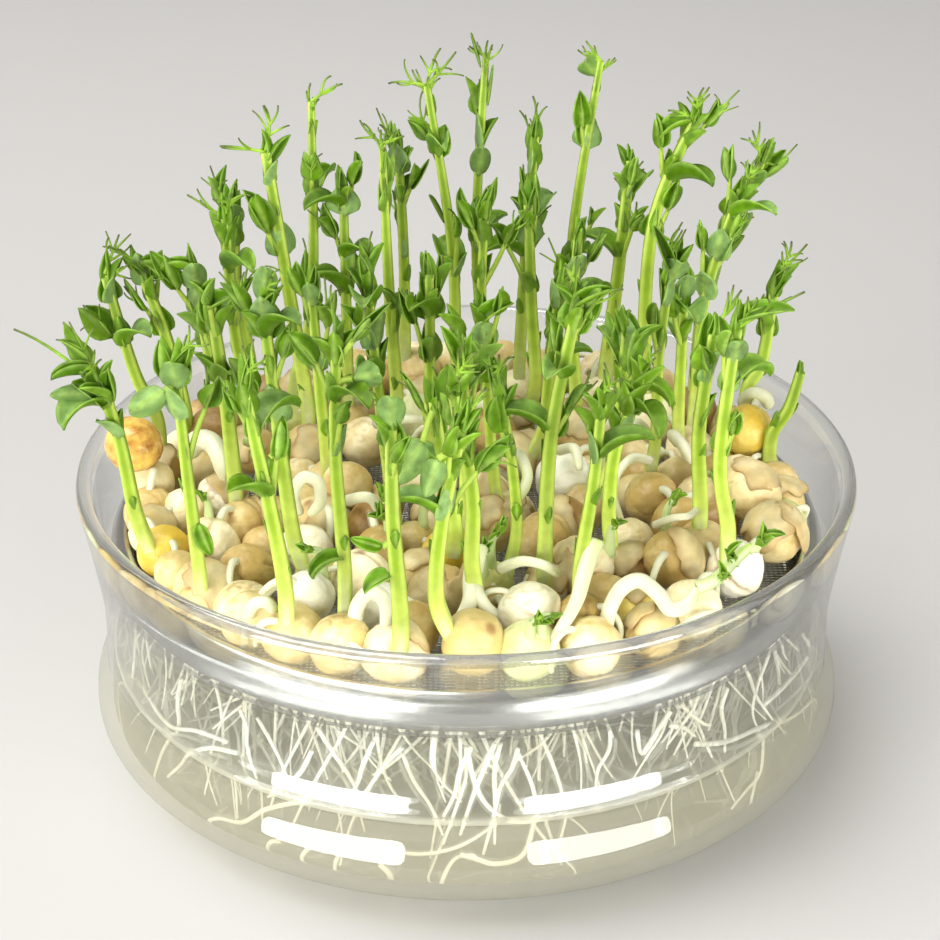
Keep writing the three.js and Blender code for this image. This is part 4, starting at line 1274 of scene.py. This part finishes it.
sprout_white = green_body(
    "sprout_white",
    [(0.0, (0.83, 0.80, 0.60, 1)), (0.6, (0.80, 0.82, 0.50, 1)), (1.0, (0.42, 0.62, 0.08, 1))],
    "run", (0.88, 0.88, 0.72, 1), (0.85, 0.85, 0.50, 1), 0.20, 0.40, 300, 0.10,
)
sprouts = new_shape()
for start_r, end_r, start_run, end_run, points in SPROUTS:
    add_tube(
        sprouts, smooth_line(points, 6),
        lambda s: (start_r + (end_r - start_r) * s) * (1 - 0.35 * max(s - 0.9, 0) / 0.1), 14,
        lambda s, a: marks_of(
            sprouts, start_run + (end_run - start_run) * s, 0.3 + 0.3 * math.cos(3 * a)
        ), 0.05,
    )
rng = random.Random(78)
for centre, r, skin, number in peas:
    if number % 5 < 3 and skin not in ("amber", "brown"):
        add_radicle(sprouts, centre, r, rng)
finish_faces(sprouts, STEM)
rng = random.Random(77)
for x, y, z, ax, ay, az, size, drop in TUFTS:
    base = Vector((x, y, z - 2))
    ahead = Vector((ax, ay, az)).normalized()
    line = smooth_line([(x, y, z - drop), base, base + ahead * 3 * size], 4)
    marks = {"run": 1.0, "under": 0.4, "rib": 0.4, "tone": 1.1}
    add_tube(sprouts, line, lambda s: 1.1 - 0.5 * s, 8, lambda s, a: marks)
    finish_faces(sprouts, STEM)
    for k in range(5):
        out = out_from(ahead, 1.3 * k + x)
        add_blade(
            sprouts, base + ahead * rng.uniform(0, 3) * size, ahead + out * rng.uniform(0.3, 0.9), -out,
            5.0 * size * rng.uniform(0.7, 1.1), 1.5 * size, 0.9, rng.uniform(-1.2, 0.3), 0.35, 7,
        )
new_piece("sprout_crooks", sprouts, [sprout_white, leaf_green], "shoot", "pea_seeds")

# ---- Torn skins: papery seed coats that have split and peeled off the peas ----
# Thin curled flakes, stuck to the pea along one side and standing off it along the other.
# pea x, y | facing x, y, z | how far the flake spreads round the pea, how far it stands off
TORN_SKINS = [
    (57, -22, -0.4, -0.3, 0.9, 62, 0.26), (57, -22, 0.8, -0.1, 0.5, 48, 0.22),
    (-4, -39, -0.6, -0.7, 0.3, 58, 0.30), (-4, -39, 0.7, -0.6, 0.1, 55, 0.32),
    (21, -32, -0.8, -0.6, 0.1, 52, 0.24), (38, -31, 0.9, -0.2, 0.4, 66, 0.12),
    (-61, -16, 0.5, -0.4, 0.8, 46, 0.2), (18, -14, -0.5, -0.5, 0.7, 60, 0.25),
    (10, 8, 0.2, -0.6, 0.8, 55, 0.25), (-32, 14, 0.4, -0.7, 0.6, 55, 0.25),
    (34, -54, 0.3, -0.6, 0.7, 48, 0.22), (-28, -12, 0.5, -0.6, 0.6, 55, 0.3),
    (22, 27, -0.2, -0.8, 0.6, 60, 0.25),
]
SKIN_T = 0.3


def add_flake(shape, centre, r, facing, spread, lift, seed):
    """A torn cap of skin over the pea, ragged round its edge and lifted along one side."""
    rng = random.Random(seed)
    facing = facing.normalized()
    side = facing.orthogonal().normalized()
    over = facing.cross(side)
    hinge = rng.uniform(0, 6.28)
    shift = Vector((rng.uniform(0, 50), rng.uniform(0, 50), 0))
    rings, sectors = 7, 26
    first = len(shape["vertices"])
    for sheet in (1, -1):
        for i in range(rings + 1):
            for k in range(sectors):
                a = 2 * math.pi * k / sectors
                rough = 1 + 0.45 * noise.noise(Vector((1.6 * math.cos(a), 1.6 * math.sin(a), 0)) + shift)
                rough += 0.12 * noise.noise(Vector((6 * math.cos(a), 6 * math.sin(a), 3)) + shift)
                t = i / rings
                tilt = math.radians(spread) * rough * t
                d = facing * math.cos(tilt) + (side * math.cos(a) + over * math.sin(a)) * math.sin(tilt)
                free = max(0.0, math.cos(a - hinge)) * t**1.6
                stand = 1.05 + lift * free + 0.03 * noise.noise(d * 3 + shift)
                marks = marks_of(shape, 0.5 + 0.5 * noise.noise(d * 2 + shift), 0.7 * t**4)
                put(shape, centre + d * (r * stand + sheet * SKIN_T / 2), marks)
    layer = (rings + 1) * sectors
    for a, b, c, d in quads(first, rings + 1, sectors, True):
        shape["faces"] += [[a, d, c, b], [b + layer, c + layer, d + layer, a + layer]]
    for quad in quads(first + rings * sectors, 2, sectors, True):
        a, b = quad[:2]
        shape["faces"].append([a, a + layer, b + layer, b])


torn_skin = green_body(
    "torn_skin",
    [(0.0, (0.60, 0.45, 0.17, 1)), (0.5, (0.80, 0.68, 0.36, 1)), (1.0, (0.90, 0.81, 0.52, 1))],
    "run", (0.50, 0.31, 0.11, 1), (0.75, 0.55, 0.25, 1), 0.25, 0.5, 260, 0.25,
)
flakes = new_shape()
for number, (x, y, fx, fy, fz, spread, lift) in enumerate(TORN_SKINS):
    add_flake(flakes, *nearest_pea(x, y), Vector((fx, fy, fz)), spread, lift, 300 + number)
rng = random.Random(79)
for centre, r, skin, number in peas:
    if number % 5 == 3:
        facing = Vector((rng.uniform(-0.8, 0.8), rng.uniform(-0.9, 0.2), rng.uniform(0.5, 1)))
        add_flake(flakes, centre, r, facing, rng.uniform(36, 56), rng.uniform(0.16, 0.32), 400 + number)
new_piece("torn_skins", flakes, [torn_skin], "pea", "pea_seeds")
